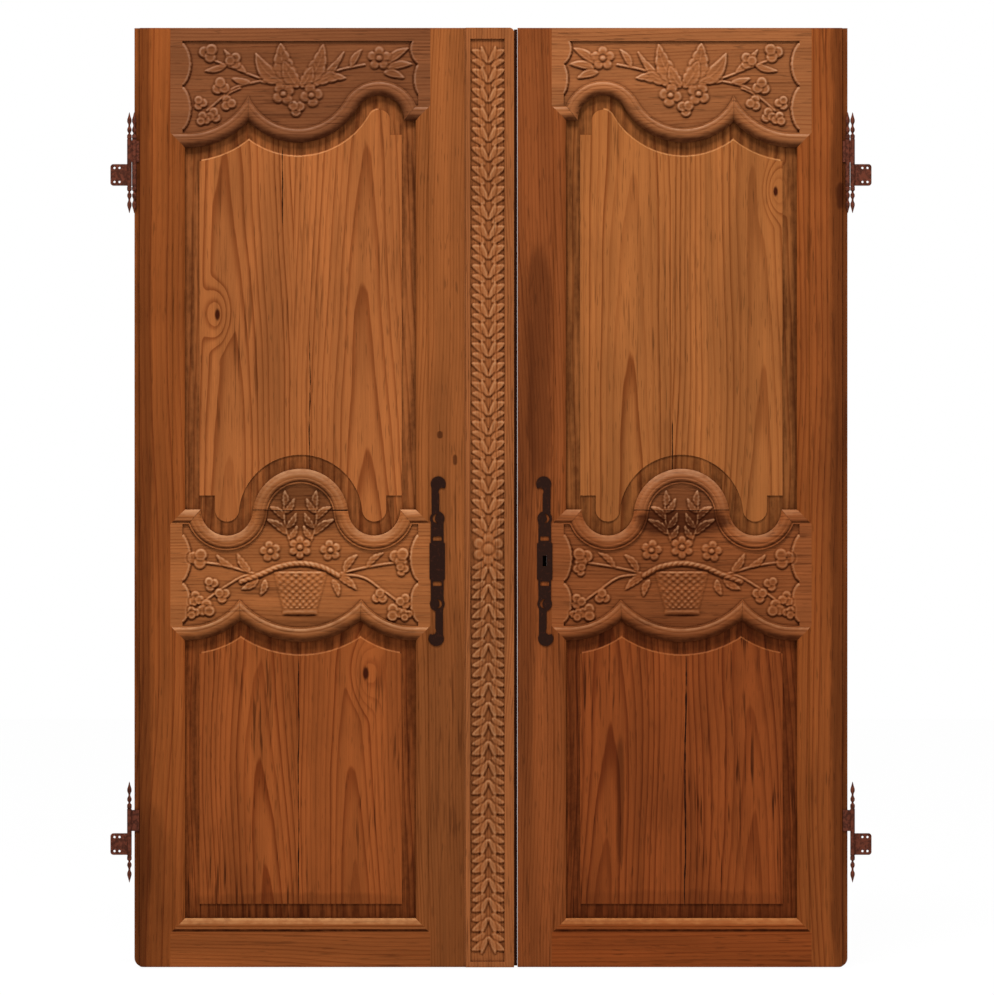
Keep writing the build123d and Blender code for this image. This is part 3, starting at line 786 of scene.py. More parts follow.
    def marked(self, nodes: Nodes, wood: object, where: object, depth: object) -> bpy.types.NodeSocket:
        """Add the stains and cracks.

        Args:
            nodes: Builder for the material's tree.
            wood: Colour of the wood.
            where: Place in the board.
            depth: Depth behind the front face.

        Returns:
            The colour with its marks.
        """
        front = nodes.span(depth, *self.stain_back, 1.0, 0.0)
        for mark in self.smudges:
            mask = Stain().use(
                nodes, Place=where, Across=mark.across, Along=mark.along, Half_width=mark.half_width,
                Half_length=mark.half_length,
            )["Mask"]
            strength = nodes.math("MULTIPLY", front, mark.strength)
            wood = nodes.blend(nodes.math("MULTIPLY", mask, strength), wood, linear(*self.dirt_and_shade))
        for split in self.splits:
            mask = Crack().use(
                nodes, Place=where, Across=split.across, From=split.start, To=split.end, Width=split.width,
                Wander=split.wander,
            )["Mask"]
            wood = nodes.blend(mask, wood, linear(*self.split_dark))
        return wood

    def wear_and_shading(self, nodes: Nodes) -> bpy.types.NodeSocket:
        """Sum up where the colour turns paler, above 0, from rubbing and painted light, and where it turns darker,
        below 0, from soiling and painted shade.

        Args:
            nodes: Builder for the material's tree.

        Returns:
            The sum of rubbing, soiling and painted light and shade.
        """
        # Painted shade and highlight of the carving, read from its mesh, partly soiling and rubbing.
        carved = nodes.node("Attribute", attribute_name="wear_and_shading").outputs["Fac"]
        # Painted shade, partly soiling: ambient occlusion darkens corners, creases and recesses.
        occlusion = nodes.node("AmbientOcclusion", samples=6)
        nodes.put(occlusion.inputs["Distance"], self.grime_and_shade_reach)
        grime_and_shade = nodes.span(occlusion.outputs["AO"], 0.25, 0.93, -0.95, 0.0)
        facing_up = nodes.parts(nodes.node("NewGeometry").outputs["Normal"])[2]
        depth = nodes.parts(nodes.node("TexCoord").outputs["Object"])[1]
        # Painted light and shade: sides that face up are made paler and sides that face down darker, as if lit from
        # above.
        painted_top_light = nodes.span(facing_up, 0.15, 0.8, 0.0, 0.6 * self.facing_shading)
        painted_under_shade = nodes.span(facing_up, -0.6, 0.1, -0.85 * self.facing_shading, 0.0)
        # Partly rubbing, partly painted highlight: the crests of the mouldings that stand out and face up are made
        # paler.
        crest = nodes.span(depth, *self.crest_depth, self.rub_and_sheen, 0.0)
        crest_rub_and_sheen = nodes.math("MULTIPLY", crest, nodes.span(facing_up, -0.05, 0.35))
        # Painted shade on the sunk margin of a panel, broken into streaks along the grain.
        if self.margin:
            streak = nodes.stretched(self.board_place(nodes), (75.0, 75.0, 5.0), detail=3.0, rough=0.6)
            sunk = nodes.span(depth, *self.margin_front, 0.0, -self.margin)
            sunk = nodes.math("MULTIPLY", sunk, nodes.span(depth, *self.margin_back, 1.0, 0.0))
            sunk = nodes.math("MULTIPLY", sunk, nodes.span(streak, 0.32, 0.6, 0.3, 1.0))
            grime_and_shade = nodes.math("MINIMUM", grime_and_shade, sunk)
        total = nodes.math("ADD", nodes.math("ADD", carved, grime_and_shade), nodes.math("ADD", painted_top_light, painted_under_shade))
        return nodes.math("ADD", total, crest_rub_and_sheen)

    def board_place(self, nodes: Nodes) -> bpy.types.NodeSocket:
        """Give the place in the board: across, into and along it.

        Args:
            nodes: Builder for the material's tree.

        Returns:
            The place as a vector.
        """
        where = nodes.node("TexCoord").outputs["Object"]
        if self.way is GrainWay.UPRIGHT:
            return where
        x, y, z = nodes.parts(where)
        return nodes.joined(z, y, x)


@dataclass(frozen=True)
class IronFinish(Finish):
    """Old dark iron, browned by rust and polished a little by hands.

    Attributes:
        dark: Colour of the iron.
        rust: Colour of the rusted patches.
        rust_share: How much of the surface is rusted.
        rough: Roughness of the bare iron.
    """

    dark: Screen = (46, 28, 20)
    rust: Screen = (96, 52, 36)
    rust_share: float = 0.4
    rough: float = 0.42

    def paint(self, nodes: Nodes, shader: bpy.types.Node) -> None:
        """Lay rust over dark iron.

        Args:
            nodes: Builder for the material's tree.
            shader: Its shader.
        """
        where = nodes.node("TexCoord").outputs["Object"]
        patch = nodes.noise(where, 160.0, 5.0, 0.65)
        spread = 0.35 * self.rust_share
        share = nodes.span(patch, 0.62 - spread, 0.8 - spread)
        nodes.put(shader.inputs["Base Color"], nodes.blend(share, linear(*self.dark), linear(*self.rust)))
        nodes.put(shader.inputs["Metallic"], nodes.math("MULTIPLY_ADD", share, -0.15, 0.2))
        nodes.put(shader.inputs["Specular IOR Level"], 0.06)
        nodes.put(shader.inputs["Roughness"], nodes.math("MULTIPLY_ADD", share, 0.3, self.rough))
        nodes.bump(shader, nodes.noise(where, 420.0, 4.0, 0.6), 0.3, 0.0004)


@dataclass(frozen=True)
class FloorFinish(Finish):
    """Pale floor that shows white where it is seen but keeps a soft shadow.

    Attributes:
        grey: Level of its own colour.
        glow: Strength of the white that is seen.
        glow_share: How much of what is seen is that white.
    """

    grey: float = 0.8
    glow: float = 1.03
    glow_share: float = 0.95

    def paint(self, nodes: Nodes, shader: bpy.types.Node) -> None:
        """Mix the white into what is seen of the floor.

        Args:
            nodes: Builder for the material's tree.
            shader: Its shader.
        """
        nodes.put(shader.inputs["Base Color"], (self.grey, self.grey, self.grey, 1.0))
        nodes.put(shader.inputs["Roughness"], 1.0)
        white, mixed = nodes.node("Emission"), nodes.node("MixShader")
        nodes.put(white.inputs["Strength"], self.glow)
        nodes.put(mixed.inputs[0], nodes.math("MULTIPLY", nodes.seen(), self.glow_share))
        nodes.put(mixed.inputs[1], shader.outputs[0])
        nodes.put(mixed.inputs[2], white.outputs[0])
        nodes.put(nodes.tree.nodes["Material Output"].inputs[0], mixed.outputs[0])


@dataclass(frozen=True)
class Lamp:
    """A square soft light that faces the doors.

    Attributes:
        name: Name of the light.
        offset: Place from the middle of the picture, in metres.
        size: Length of its side.
        power: Power in watts.
    """

    name: str
    offset: Corner
    size: float
    power: float

    def hang(self, aim: Vector) -> None:
        """Hang the light.

        Args:
            aim: Point that it faces.
        """
        data = bpy.data.lights.new(self.name, "AREA")
        data.energy, data.size = self.power, self.size
        lamp = bpy.data.objects.new(self.name, data)
        bpy.context.scene.collection.objects.link(lamp)
        lamp.location = aim + Vector(self.offset)
        lamp.rotation_euler = (-Vector(self.offset)).to_track_quat("-Z", "Y").to_euler()


@dataclass(frozen=True)
class Studio:
    """White studio with a high soft key light and a straight, distant camera.

    Attributes:
        aim: Point that the middle of the picture shows, in metres.
        floor_level: Height of the floor.
        distance: Distance from the camera to the doors.
        lens: Focal length in millimetres.
        sensor: Width of the sensor in millimetres.
        floor_half: Half the length of the floor's side.
        ambient: Level of the world's light.
        lamps: The lights.
    """

    aim: Corner
    floor_level: float
    distance: float = 8.0
    lens: float = 145.0
    sensor: float = 36.0
    floor_half: float = 9.0
    ambient: float = 0.18
    lamps: tuple[Lamp, ...] = (
        Lamp("key", (-0.5, -3.0, 4.8), 1.5, 262.0),
        Lamp("fill", (0.9, -5.0, 0.2), 3.0, 52.0),
    )

    def build(self) -> None:
        """Set the camera, the lamps, the floor and the world."""
        scene = bpy.context.scene
        scene.view_settings.view_transform = "Standard"
        self.camera(scene)
        for lamp in self.lamps:
            lamp.hang(Vector(self.aim))
        self.world(scene)
        self.floor(scene)

    def camera(self, scene: bpy.types.Scene) -> None:
        """Place the camera straight in front of the doors.

        Args:
            scene: The scene that gets the camera.
        """
        data = bpy.data.cameras.new("camera")
        data.type, data.lens, data.sensor_width = "PERSP", self.lens, self.sensor
        data.clip_end = 100.0
        eye = bpy.data.objects.new("camera", data)
        scene.collection.objects.link(eye)
        eye.location = Vector(self.aim) + Vector((0.0, -self.distance, 0.0))
        eye.rotation_euler = (math.pi / 2, 0.0, 0.0)
        scene.camera = eye

    def world(self, scene: bpy.types.Scene) -> None:
        """Make the world white where it is seen and a soft grey light to everything else.

        Args:
            scene: The scene that gets the world.
        """
        world = bpy.data.worlds.new("studio")
        world.use_nodes = True
        nodes = Nodes(world.node_tree)
        back = world.node_tree.nodes["Background"]
        nodes.put(back.inputs["Color"], (1.0, 1.0, 1.0, 1.0))
        level = nodes.math("MULTIPLY_ADD", nodes.seen(), 1 - self.ambient, self.ambient)
        nodes.put(back.inputs["Strength"], level)
        scene.world = world

    def floor(self, scene: bpy.types.Scene) -> None:
        """Lay the floor.

        Args:
            scene: The scene that gets the floor.
        """
        mesh = bpy.data.meshes.new("floor")
        turns = ((-1, -1), (1, -1), (1, 1), (-1, 1))
        x, y, half = self.aim[0], self.aim[1], self.floor_half
        corners = [(x + a * half, y + b * half, self.floor_level) for a, b in turns]
        mesh.from_pydata(corners, [], [(0, 1, 2, 3)])
        mesh.materials.append(FloorFinish("floor_white").material())
        floor = bpy.data.objects.new("floor", mesh)
        scene.collection.objects.link(floor)
        floor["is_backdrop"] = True


@dataclass(frozen=True)
class DoorFrame:
    """Where the doors stand in the row's frame, and the sizes that the carving fits, in millimetres.

    Attributes:
        zero: Outer lower front corner of the left leaf, in metres.
        pair_width: Width of the pair.
        sight: Distance from the hinge edge to the sight edge of the hanging stile.
        opening: Width between the sight edges.
        height: Height of a leaf.
        thickness: Thickness of a stile.
    """

    zero: Corner
    pair_width: float
    sight: float = 101.0
    opening: float = 460.0
    height: float = 1872.0
    thickness: float = 30.0

    @classmethod
    def measured(cls) -> "DoorFrame":
        """Read the place of the doors from the CAD pieces.

        Returns:
            The frame of the doors.
        """
        low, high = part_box("left_hanging_stile")
        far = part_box("right_hanging_stile")[1]
        return cls((low[0], high[1] - cls.thickness * MM, low[2]), (far[0] - low[0]) / MM)

    def place(self, side: Side, x: np.ndarray, y: np.ndarray, z: np.ndarray) -> np.ndarray:
        """Turn leaf coordinates into the row's frame.

        Args:
            side: Which leaf.
            x: Distance from the hinge edge, in millimetres.
            y: Depth behind the front face.
            z: Height above the bottom edge.

        Returns:
            Points in metres.
        """
        across = x if side is Side.LEFT else self.pair_width - x
        points = np.stack([across.ravel(), y.ravel(), z.ravel()], axis=1) * MM
        return points + np.array(self.zero)


def blurred(values: np.ndarray, reach: int) -> np.ndarray:
    """Average a grid over a square window.

    Args:
        values: The grid.
        reach: Cells on each side of the middle.

    Returns:
        The averaged grid.
    """
    for axis in (0, 1):
        pad = [(0, 0), (0, 0)]
        pad[axis] = (reach + 1, reach)
        total = np.cumsum(np.pad(values, pad, mode="edge"), axis=axis)
        size = 2 * reach + 1
        ahead = np.take(total, range(size, total.shape[axis]), axis=axis)
        behind = np.take(total, range(0, total.shape[axis] - size), axis=axis)
        values = (ahead - behind) / size
    return values


def smooth_path(points: list[Point], count: int = 24) -> np.ndarray:
    """Draw a smooth curve through points.

    Args:
        points: At least two points.
        count: Samples for each stretch.

    Returns:
        Points along the curve.
    """
    p = np.array([points[0], *points, points[-1]], float)
    t = np.linspace(0, 1, count)[:, None]
    out = []
    for a, b, c, d in zip(p, p[1:], p[2:], p[3:]):
        square = (2 * a - 5 * b + 4 * c - d) * t**2
        cube = (3 * b - a - 3 * c + d) * t**3
        out.append(0.5 * (2 * b + (c - a) * t + square + cube))
    return np.concatenate(out)


def dome(share: np.ndarray) -> np.ndarray:
    """Round profile that is 1 at a share of 0 and falls to 0 at a share of 1."""
    return np.sqrt(np.clip(1 - share**2, 0, 1))


def arc_radius(run: float, rise: float) -> float:
    """Radius of an arc that rises from level by this much over this run."""
    return (run**2 + rise**2) / (2 * rise)


@dataclass
class Relief:
    """A carved surface: heights above the ground over a grid, in millimetres.

    Attributes:
        low: Lowest corner of the grid.
        high: Highest corner.
        step: Distance between grid points.
        rim: Least height of a motif's edge.
        tool_mark: Depth of the tool marks before they are smoothed.
        hollow_reach: How far around a place its hollow is measured.
    """

    low: Point
    high: Point
    step: float
    rim: ClassVar[float] = 0.2
    tool_mark: ClassVar[float] = 0.5
    hollow_reach: ClassVar[float] = 4.0

    def __post_init__(self) -> None:
        """Lay out an empty ground."""
        u = np.arange(self.low[0], self.high[0] + self.step, self.step)
        z = np.arange(self.low[1], self.high[1] + self.step, self.step)
        self.u, self.z = np.meshgrid(u, z)
        self.height = np.zeros_like(self.u)

    def lay(self, height: np.ndarray) -> None:
        """Lay a motif over what is there, with a cut line where it stands above its neighbours.

        Args:
            height: Height of the motif, 0 outside it.
        """
        body = (height > 0.05).astype(float)
        beside = (body < 0.5) & (blurred(body, 1) > 0.0)
        self.height = np.maximum(self.height * np.where(beside, 0.55, 1.0), height)

    def lay_inside(self, height: np.ndarray, inside: np.ndarray) -> None:
        """Lay a motif that ends in an upright rim."""
        self.lay(np.where(inside, np.maximum(height, self.rim), 0))

    def leaf(
        self, base: Point, tip: Point, width: float, bend: float = 0.0, top: float = 4.4, teeth: int = 0,
        taper: float = 0.75,
    ) -> None:
        """Carve a leaf with a midrib and side veins.

        Args:
            base: Where it grows from.
            tip: Its point.
            width: Its greatest width.
            bend: Sideways bow as a share of its length.
            top: Its height.
            teeth: Number of teeth along each side.
            taper: How pointed it is, low for a blunt leaf.
        """
        bx, bz = base
        tx, tz = tip[0] - bx, tip[1] - bz
        length = math.hypot(tx, tz)
        tx, tz = tx / length, tz / length
        s = ((self.u - bx) * tx + (self.z - bz) * tz) / length
        c = (self.u - bx) * -tz + (self.z - bz) * tx
        inside = (s > 0) & (s < 1)
        sc = np.clip(s, 0.0, 1.0)
        c = c - bend * length * np.sin(np.pi * sc)
        half = width / 2 * np.sin(np.pi * sc**0.8) ** taper
        if teeth:
            half = half * (0.84 + 0.2 * np.abs(np.sin(np.pi * sc * teeth)) ** 0.7)
        q = np.abs(c) / np.maximum(half, 1e-3)
        body = np.clip(1 - q**9, 0, 1)
        cup = 0.56 + 0.44 * q**2
        rib = 0.3 * np.exp(-((c / 1.2) ** 2)) * (1 - 0.6 * sc)
        vein = (sc * max(teeth, 3) - 0.7 * q) % 1.0 - 0.5
        veins = 0.14 * np.exp(-((vein / 0.11) ** 2)) if teeth else 0.0
        height = top * body * (cup + rib - veins) * (0.75 + 0.25 * sc)
        self.lay_inside(height, inside & (q < 1))

    def flower(self, centre: Point, radius: float, petals: int = 5, turn: float = 0.0, top: float = 4.6) -> None:
        """Carve an open flower with a round button.

        Args:
            centre: Its middle.
            radius: Its radius.
            petals: Number of petals.
            turn: Angle of the first petal.
            top: Its height.
        """
        du, dz = self.u - centre[0], self.z - centre[1]
        r, a = np.hypot(du, dz), np.arctan2(dz, du)
        wave = np.abs(np.cos(petals / 2 * (a - turn)))
        q = r / (radius * (0.58 + 0.42 * wave**0.55))
        cup = 0.4 + 0.6 * q**2
        groove = 0.62 + 0.38 * np.clip(wave * 2.2, 0, 1)
        height = top * np.clip(1 - q**7, 0, 1) * cup * groove
        button = radius * 0.27
        knob = top * 1.05 * dome(r / button)
        ring = (r > button) & (r < button * 1.3)
        self.lay_inside(np.where(ring, height * 0.45, np.maximum(height, knob)), q < 1)

    def bud(self, centre: Point, radius: float, top: float = 4.2) -> None:
        """Carve a small cupped blossom of three round lobes.

        Args:
            centre: Its middle.
            radius: Its radius.
            top: Its height.
        """
        radius = 1.2 * radius
        for k in range(3):
            angle = math.radians(90 + 120 * k + 17 * centre[0])
            du = self.u - centre[0] - math.cos(angle) * radius * 0.45
            dz = self.z - centre[1] - math.sin(angle) * radius * 0.45
            q = np.hypot(du, dz) / (radius * 0.62)
            self.lay(np.where(q < 1, top * (0.62 + 0.38 * q**2) * np.clip(1 - q**9, 0, 1) + 0.1, 0))

    def along(self, points: list[Point]) -> tuple[np.ndarray, np.ndarray, np.ndarray]:
        """Measure the grid from a curve.

        Args:
            points: Points that the curve goes through.

        Returns:
            Distance from the curve, signed distance to its side, and distance travelled along it.
        """
        path = smooth_path(points)
        near = np.full_like(self.u, 1e9)
        side = np.zeros_like(self.u)
        travel = np.zeros_like(self.u)
        done = 0.0
        for a, b in zip(path, path[1:]):
            t = b - a
            length = float(np.hypot(*t))
            if length < 1e-6:
                continue
            t = t / length
            s = (self.u - a[0]) * t[0] + (self.z - a[1]) * t[1]
            c = (self.u - a[0]) * -t[1] + (self.z - a[1]) * t[0]
            d = np.hypot(s - np.clip(s, 0, length), c)
            closer = d < near
            near = np.where(closer, d, near)
            side = np.where(closer, c, side)
            travel = np.where(closer, done + np.clip(s, 0, length), travel)
            done += length
        return near, side, travel

    def stem(self, points: list[Point], width: float = 5.0, top: float = 3.0) -> None:
        """Carve a round stem of this width and height through points."""
        near, _, _ = self.along(points)
        self.lay(top * dome(near / (width / 2)))

    def rope(self, points: list[Point], width: float = 11.0, top: float = 4.8, pitch: float = 11.0) -> None:
        """Carve a twisted rope.

        Args:
            points: Points that it goes through.
            width: Its width.
            top: Its height.
            pitch: Distance between its strands.
        """
        near, side, travel = self.along(points)
        strand = np.abs(np.sin(np.pi * (travel / pitch + side / width * 0.8)))
        self.lay(top * dome(near / (width / 2)) * (0.55 + 0.45 * strand**0.6))

    def basket(self, low: Corner, high: Corner, top: float = 4.6) -> None:
        """Carve a woven basket with a flared side and a foot ring.

        Args:
            low: Left, right and height of its foot.
            high: Left, right and height of its mouth.
            top: Its height.
        """
        rise = self.z - low[2]
        share = np.clip(rise / (high[2] - low[2]), 0, 1)
        flare = 7.0 * np.clip(1 - rise / 12.0, 0, 1)
        left = low[0] + (high[0] - low[0]) * share**0.8 - flare
        right = low[1] + (high[1] - low[1]) * share**0.8 + flare
        across = (self.u - left) / (right - left)
        inside = (across > 0) & (across < 1) & (self.z > low[2]) & (self.z < high[2])
        bulge = np.clip(1 - np.abs(2 * across - 1) ** 3, 0, 1) ** 0.6
        rows = rise / 13.0
        one, two = np.sin(np.pi * (6 * across + rows)), np.sin(np.pi * (6 * across - rows))
        weave = np.abs(one * two) ** 0.45
        ring = dome((rise - 6.0) / 6.5)
        height = top * bulge * np.where(self.z < low[2] + 12, 0.95 * ring, 0.45 + 0.55 * weave)
        self.lay_inside(height, inside)

    def end_lobe(self, edge: float, low: float, high: float, bulge: float, top: float = 4.4) -> None:
        """Leave a round lobe of the face standing at an end of the field.

        Args:
            edge: Where the lobe stands.
            low: Its lower point.
            high: Its upper point.
            bulge: How far it comes into the field, with its sign.
            top: Its height.
        """
        share = (self.z - low) / (high - low)
        reach = edge + bulge * np.sin(np.pi * np.clip(share, 0, 1)) ** 0.6
        inside = (share > 0) & (share < 1)
        inside &= (self.u < reach) if bulge > 0 else (self.u > reach)
        self.height = np.where(inside, top, self.height)

    def made(
        self, name: str, door: DoorFrame, side: Side, ground: float, keep: np.ndarray, shift: float,
        rough: float = 0.5,
    ) -> bpy.types.Object:
        """Turn the carving into a mesh that rides on its leaf.

        Args:
            name: Name of the piece.
            door: Frame of the doors.
            side: Which leaf.
            ground: Depth of the ground behind the front face.
            keep: Which grid points belong to the field.
            shift: Distance from the hinge edge to the grid's zero.
            rough: Strength of the tool marks.

        Returns:
            The new object.
        """
        rng = np.random.default_rng(len(name))
        soft = blurred(self.height, 1) if rough else self.height
        marks = blurred(rng.normal(0, self.tool_mark, self.height.shape), 2)
        points = door.place(side, self.u + shift, ground - soft - marks * rough, self.z)
        rows, columns = self.u.shape
        index = np.arange(rows * columns).reshape(rows, columns)
        cells = keep[:-1, :-1] & keep[1:, :-1] & keep[:-1, 1:] & keep[1:, 1:]
        quads = np.stack([index[:-1, :-1], index[:-1, 1:], index[1:, 1:], index[1:, :-1]], axis=2)[cells]
        if side is Side.RIGHT:
            quads = quads[:, ::-1]
        used = np.unique(quads)
        renumber = np.zeros(rows * columns, int)
        renumber[used] = np.arange(len(used))
        mesh = bpy.data.meshes.new(name)
        mesh.from_pydata(points[used].tolist(), [], renumber[quads].tolist())
        mesh.shade_smooth()
        # Painted shade and highlight, partly soiling and rubbing: hollows of the carving darker, its high points
        # paler, its low ground a little darker.
        hollow = (soft - blurred(soft, max(2, round(self.hollow_reach / self.step)))) / 1.4
        wear_and_shading = np.clip(hollow, -0.9, 0.55) - 0.08 * (soft < 0.6)
        layer = mesh.attributes.new("wear_and_shading", "FLOAT", "POINT")
        layer.data.foreach_set("value", wear_and_shading.ravel()[used].astype(np.float32))
        piece = bpy.data.objects.new(name, mesh)
        bpy.context.scene.collection.objects.link(piece)
        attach(piece, side.body)
        return piece


class BoardBook:
    """Finishes of the CAD pieces, by node."""

    stile = PineFinish(contrast=0.4)
    # Panels: painted shade reaches further out of the corners and darkens the sunk margin.
    panel = PineFinish(contrast=0.6, grime_and_shade_reach=0.03, margin=0.7)
    rail = PineFinish(contrast=0.32, way=GrainWay.LEVEL)
    boards = {
        "left_hanging_stile": replace(
            stile, tone=(146, 76, 33), pith=(-0.12, 0.05), spacing=0.011, seed=3.1, slope=0.01,
            smudges=(Smudge(0.052, 0.7, 0.022, 1.2, 0.45), Smudge(0.05, -0.1, 0.06, 0.2, 0.3)),
        ),
        "left_meeting_stile": replace(
            stile, tone=(150, 84, 40), pith=(0.9, 0.05), spacing=0.006, seed=7.7, slope=0.012,
            smudges=(
                Smudge(0.645, 0.0, 0.08, 0.55, 0.25), Smudge(0.674, 0.766, 0.006, 0.012, 0.7),
                Smudge(0.6436, 0.816, 0.007, 0.008, 0.7),
            ),
        ),
        "left_carved_strip": replace(
            stile, tone=(154, 89, 46), rub_and_sheen=0.0, facing_shading=0.45, pith=(0.95, 0.05), spacing=0.0055, seed=11.3, slope=0.012,
        ),
        "left_upper_panel": replace(
            panel, tone=(165, 92, 45), joint=(0.352, 0.5), pith=(0.235, 0.012), spacing=0.0095, seed=1.4,
            slope=0.034,
            knots=(Knot(0.1996, 1.0559, 0.007),),
            splits=(Split(0.3296, 1.2259, 1.3959, 0.0022), Split(0.3836, 0.6559, 1.0259, 0.0022)),
        ),
        "left_lower_panel": replace(
            panel, tone=(153, 78, 34), blotch=0.2, streaks=0.75, joint=(0.3616, 0.47), pith=(0.3, 0.03),
            spacing=0.009, seed=5.9, slope=0.04,
            knots=(Knot(0.4956, 0.3399, 0.008),),
            splits=(Split(0.3616, -0.1341, 0.3959, 0.0024),),
            smudges=(Smudge(0.37, -0.13, 0.3, 0.035, 0.25),),
        ),
        "right_hanging_stile": replace(
            stile, tone=(146, 76, 33), pith=(1.62, 0.05), spacing=0.011, seed=13.2, slope=0.01,
            smudges=(Smudge(1.4456, 0.7, 0.028, 1.3, 0.5), Smudge(1.442, 1.292, 0.01, 0.03, 0.7)),
        ),
        "right_meeting_stile": replace(
            stile, tone=(138, 72, 33), pith=(0.62, 0.05), spacing=0.006, seed=17.6, slope=0.012,
            smudges=(Smudge(0.8436, 0.956, 0.03, 0.27, 0.5), Smudge(0.815, 0.6, 0.02, 0.6, 0.25)),
        ),
        "right_upper_panel": replace(
            panel, tone=(161, 92, 44), joint=(1.1076, 1.27), pith=(1.02, 0.012), spacing=0.0095, seed=19.8,
            slope=0.028,
            knots=(Knot(1.3136, 1.3019, 0.006),),
            splits=(Split(1.1076, 0.72, 0.85, 0.0022),),
            smudges=(Smudge(1.36, 0.95, 0.02, 0.3, 0.3),),
        ),
        "right_lower_panel": replace(
            panel, tone=(137, 66, 27), blotch=0.2, streaks=0.85, joint=(1.1336, 1.25), pith=(0.98, 0.03),
            spacing=0.0095, seed=23.5, slope=0.036,
            splits=(Split(1.1336, -0.1441, 0.4019, 0.0036),),
            smudges=(Smudge(1.004, 0.08, 0.01, 0.14, 0.5), Smudge(1.13, -0.13, 0.3, 0.04, 0.22)),
        ),
        # Rails differ in how pale the crests and upper sides of their mouldings are made, partly rubbing and partly
        # painted light.
        "left_top_rail": replace(rail, tone=(131, 76, 44), rub_and_sheen=0.1, pith=(1.3, 0.03), seed=29.0),
        "left_middle_rail": replace(
            rail, tone=(168, 98, 52), rub_and_sheen=0.28, pith=(0.4, 0.03), seed=31.7,
            splits=(Split(0.666, 0.24, 0.49, 0.0032, 0.0004),),
            smudges=(Smudge(0.65, 0.364, 0.034, 0.09, 0.6), Smudge(0.425, 0.3656, 0.03, 0.25, 0.35)),
        ),
        "left_middle_rail_crest": replace(
            rail, tone=(156, 92, 50), rub_and_sheen=0.42, pith=(0.8, 0.04), seed=37.1,
            smudges=(Smudge(0.69, 0.3656, 0.03, 0.065, 0.5),),
        ),
        "left_bottom_rail": replace(rail, tone=(149, 80, 37), rub_and_sheen=0.9, facing_shading=1.9, pith=(-0.3, 0.04), seed=41.9),
        "right_top_rail": replace(rail, tone=(158, 94, 53), rub_and_sheen=0.12, pith=(1.32, 0.03), seed=43.3),
        "right_middle_rail": replace(
            rail, tone=(146, 80, 41), rub_and_sheen=0.28, pith=(0.38, 0.03), seed=47.2,
            splits=(Split(0.666, 1.0, 1.25, 0.0032, 0.0004),),
            smudges=(Smudge(0.645, 1.127, 0.036, 0.1, 0.8), Smudge(0.425, 1.1256, 0.03, 0.25, 0.3)),
        ),
        "right_middle_rail_crest": replace(
            rail, tone=(152, 88, 48), rub_and_sheen=0.42, pith=(0.85, 0.04), seed=53.8,
            smudges=(Smudge(0.69, 1.1256, 0.03, 0.065, 0.45),),
        ),
        "right_bottom_rail": replace(rail, tone=(142, 70, 29), rub_and_sheen=0.9, facing_shading=1.9, pith=(-0.32, 0.04), seed=59.4),
    }
    lock_plate = IronFinish("iron_lock_plate", (37, 17, 9), (64, 32, 20), 0.25, 0.5)
    hinge = IronFinish("iron_hinge", (72, 37, 26), (110, 58, 42), 0.6, 0.5)

    @classmethod
    def finish(cls, node: str) -> Finish:
        """Find the finish of a CAD piece.

        Args:
            node: Name of the CAD node.

        Returns:
            Its finish.
        """
        if node in cls.boards:
            return replace(cls.boards[node], name=f"pine_{node}")
        return cls.lock_plate if "lock_plate" in node else cls.hinge

    @classmethod
    def dress(cls, frame: dict) -> None:
        """Give each CAD piece its finish and its smooth curves.
        """
        for name, node in frame["nodes"].items():
            node.data.materials.clear()
            node.data.materials.append(cls.finish(name).material())
            node.data.shade_smooth()
            node.data.set_sharp_from_angle(angle=SMOOTH_ANGLE)
            LOG.info("dressed %s", name)


@dataclass(frozen=True)
class LeafPiece:
    """What the scene adds to one leaf.

    Attributes:
        door: Frame of the doors.
        side: Which leaf.
    """

    door: DoorFrame
    side: Side

    def dress(self, piece: bpy.types.Object, finish: Finish, slot: Slot) -> None:
        """Give a new piece its finish.

        Args:
            piece: The piece.
            finish: Its finish.
            slot: Not used.
        """
        piece.data.materials.append(finish.material())
        LOG.info("built %s with %d faces", piece.name, len(piece.data.polygons))


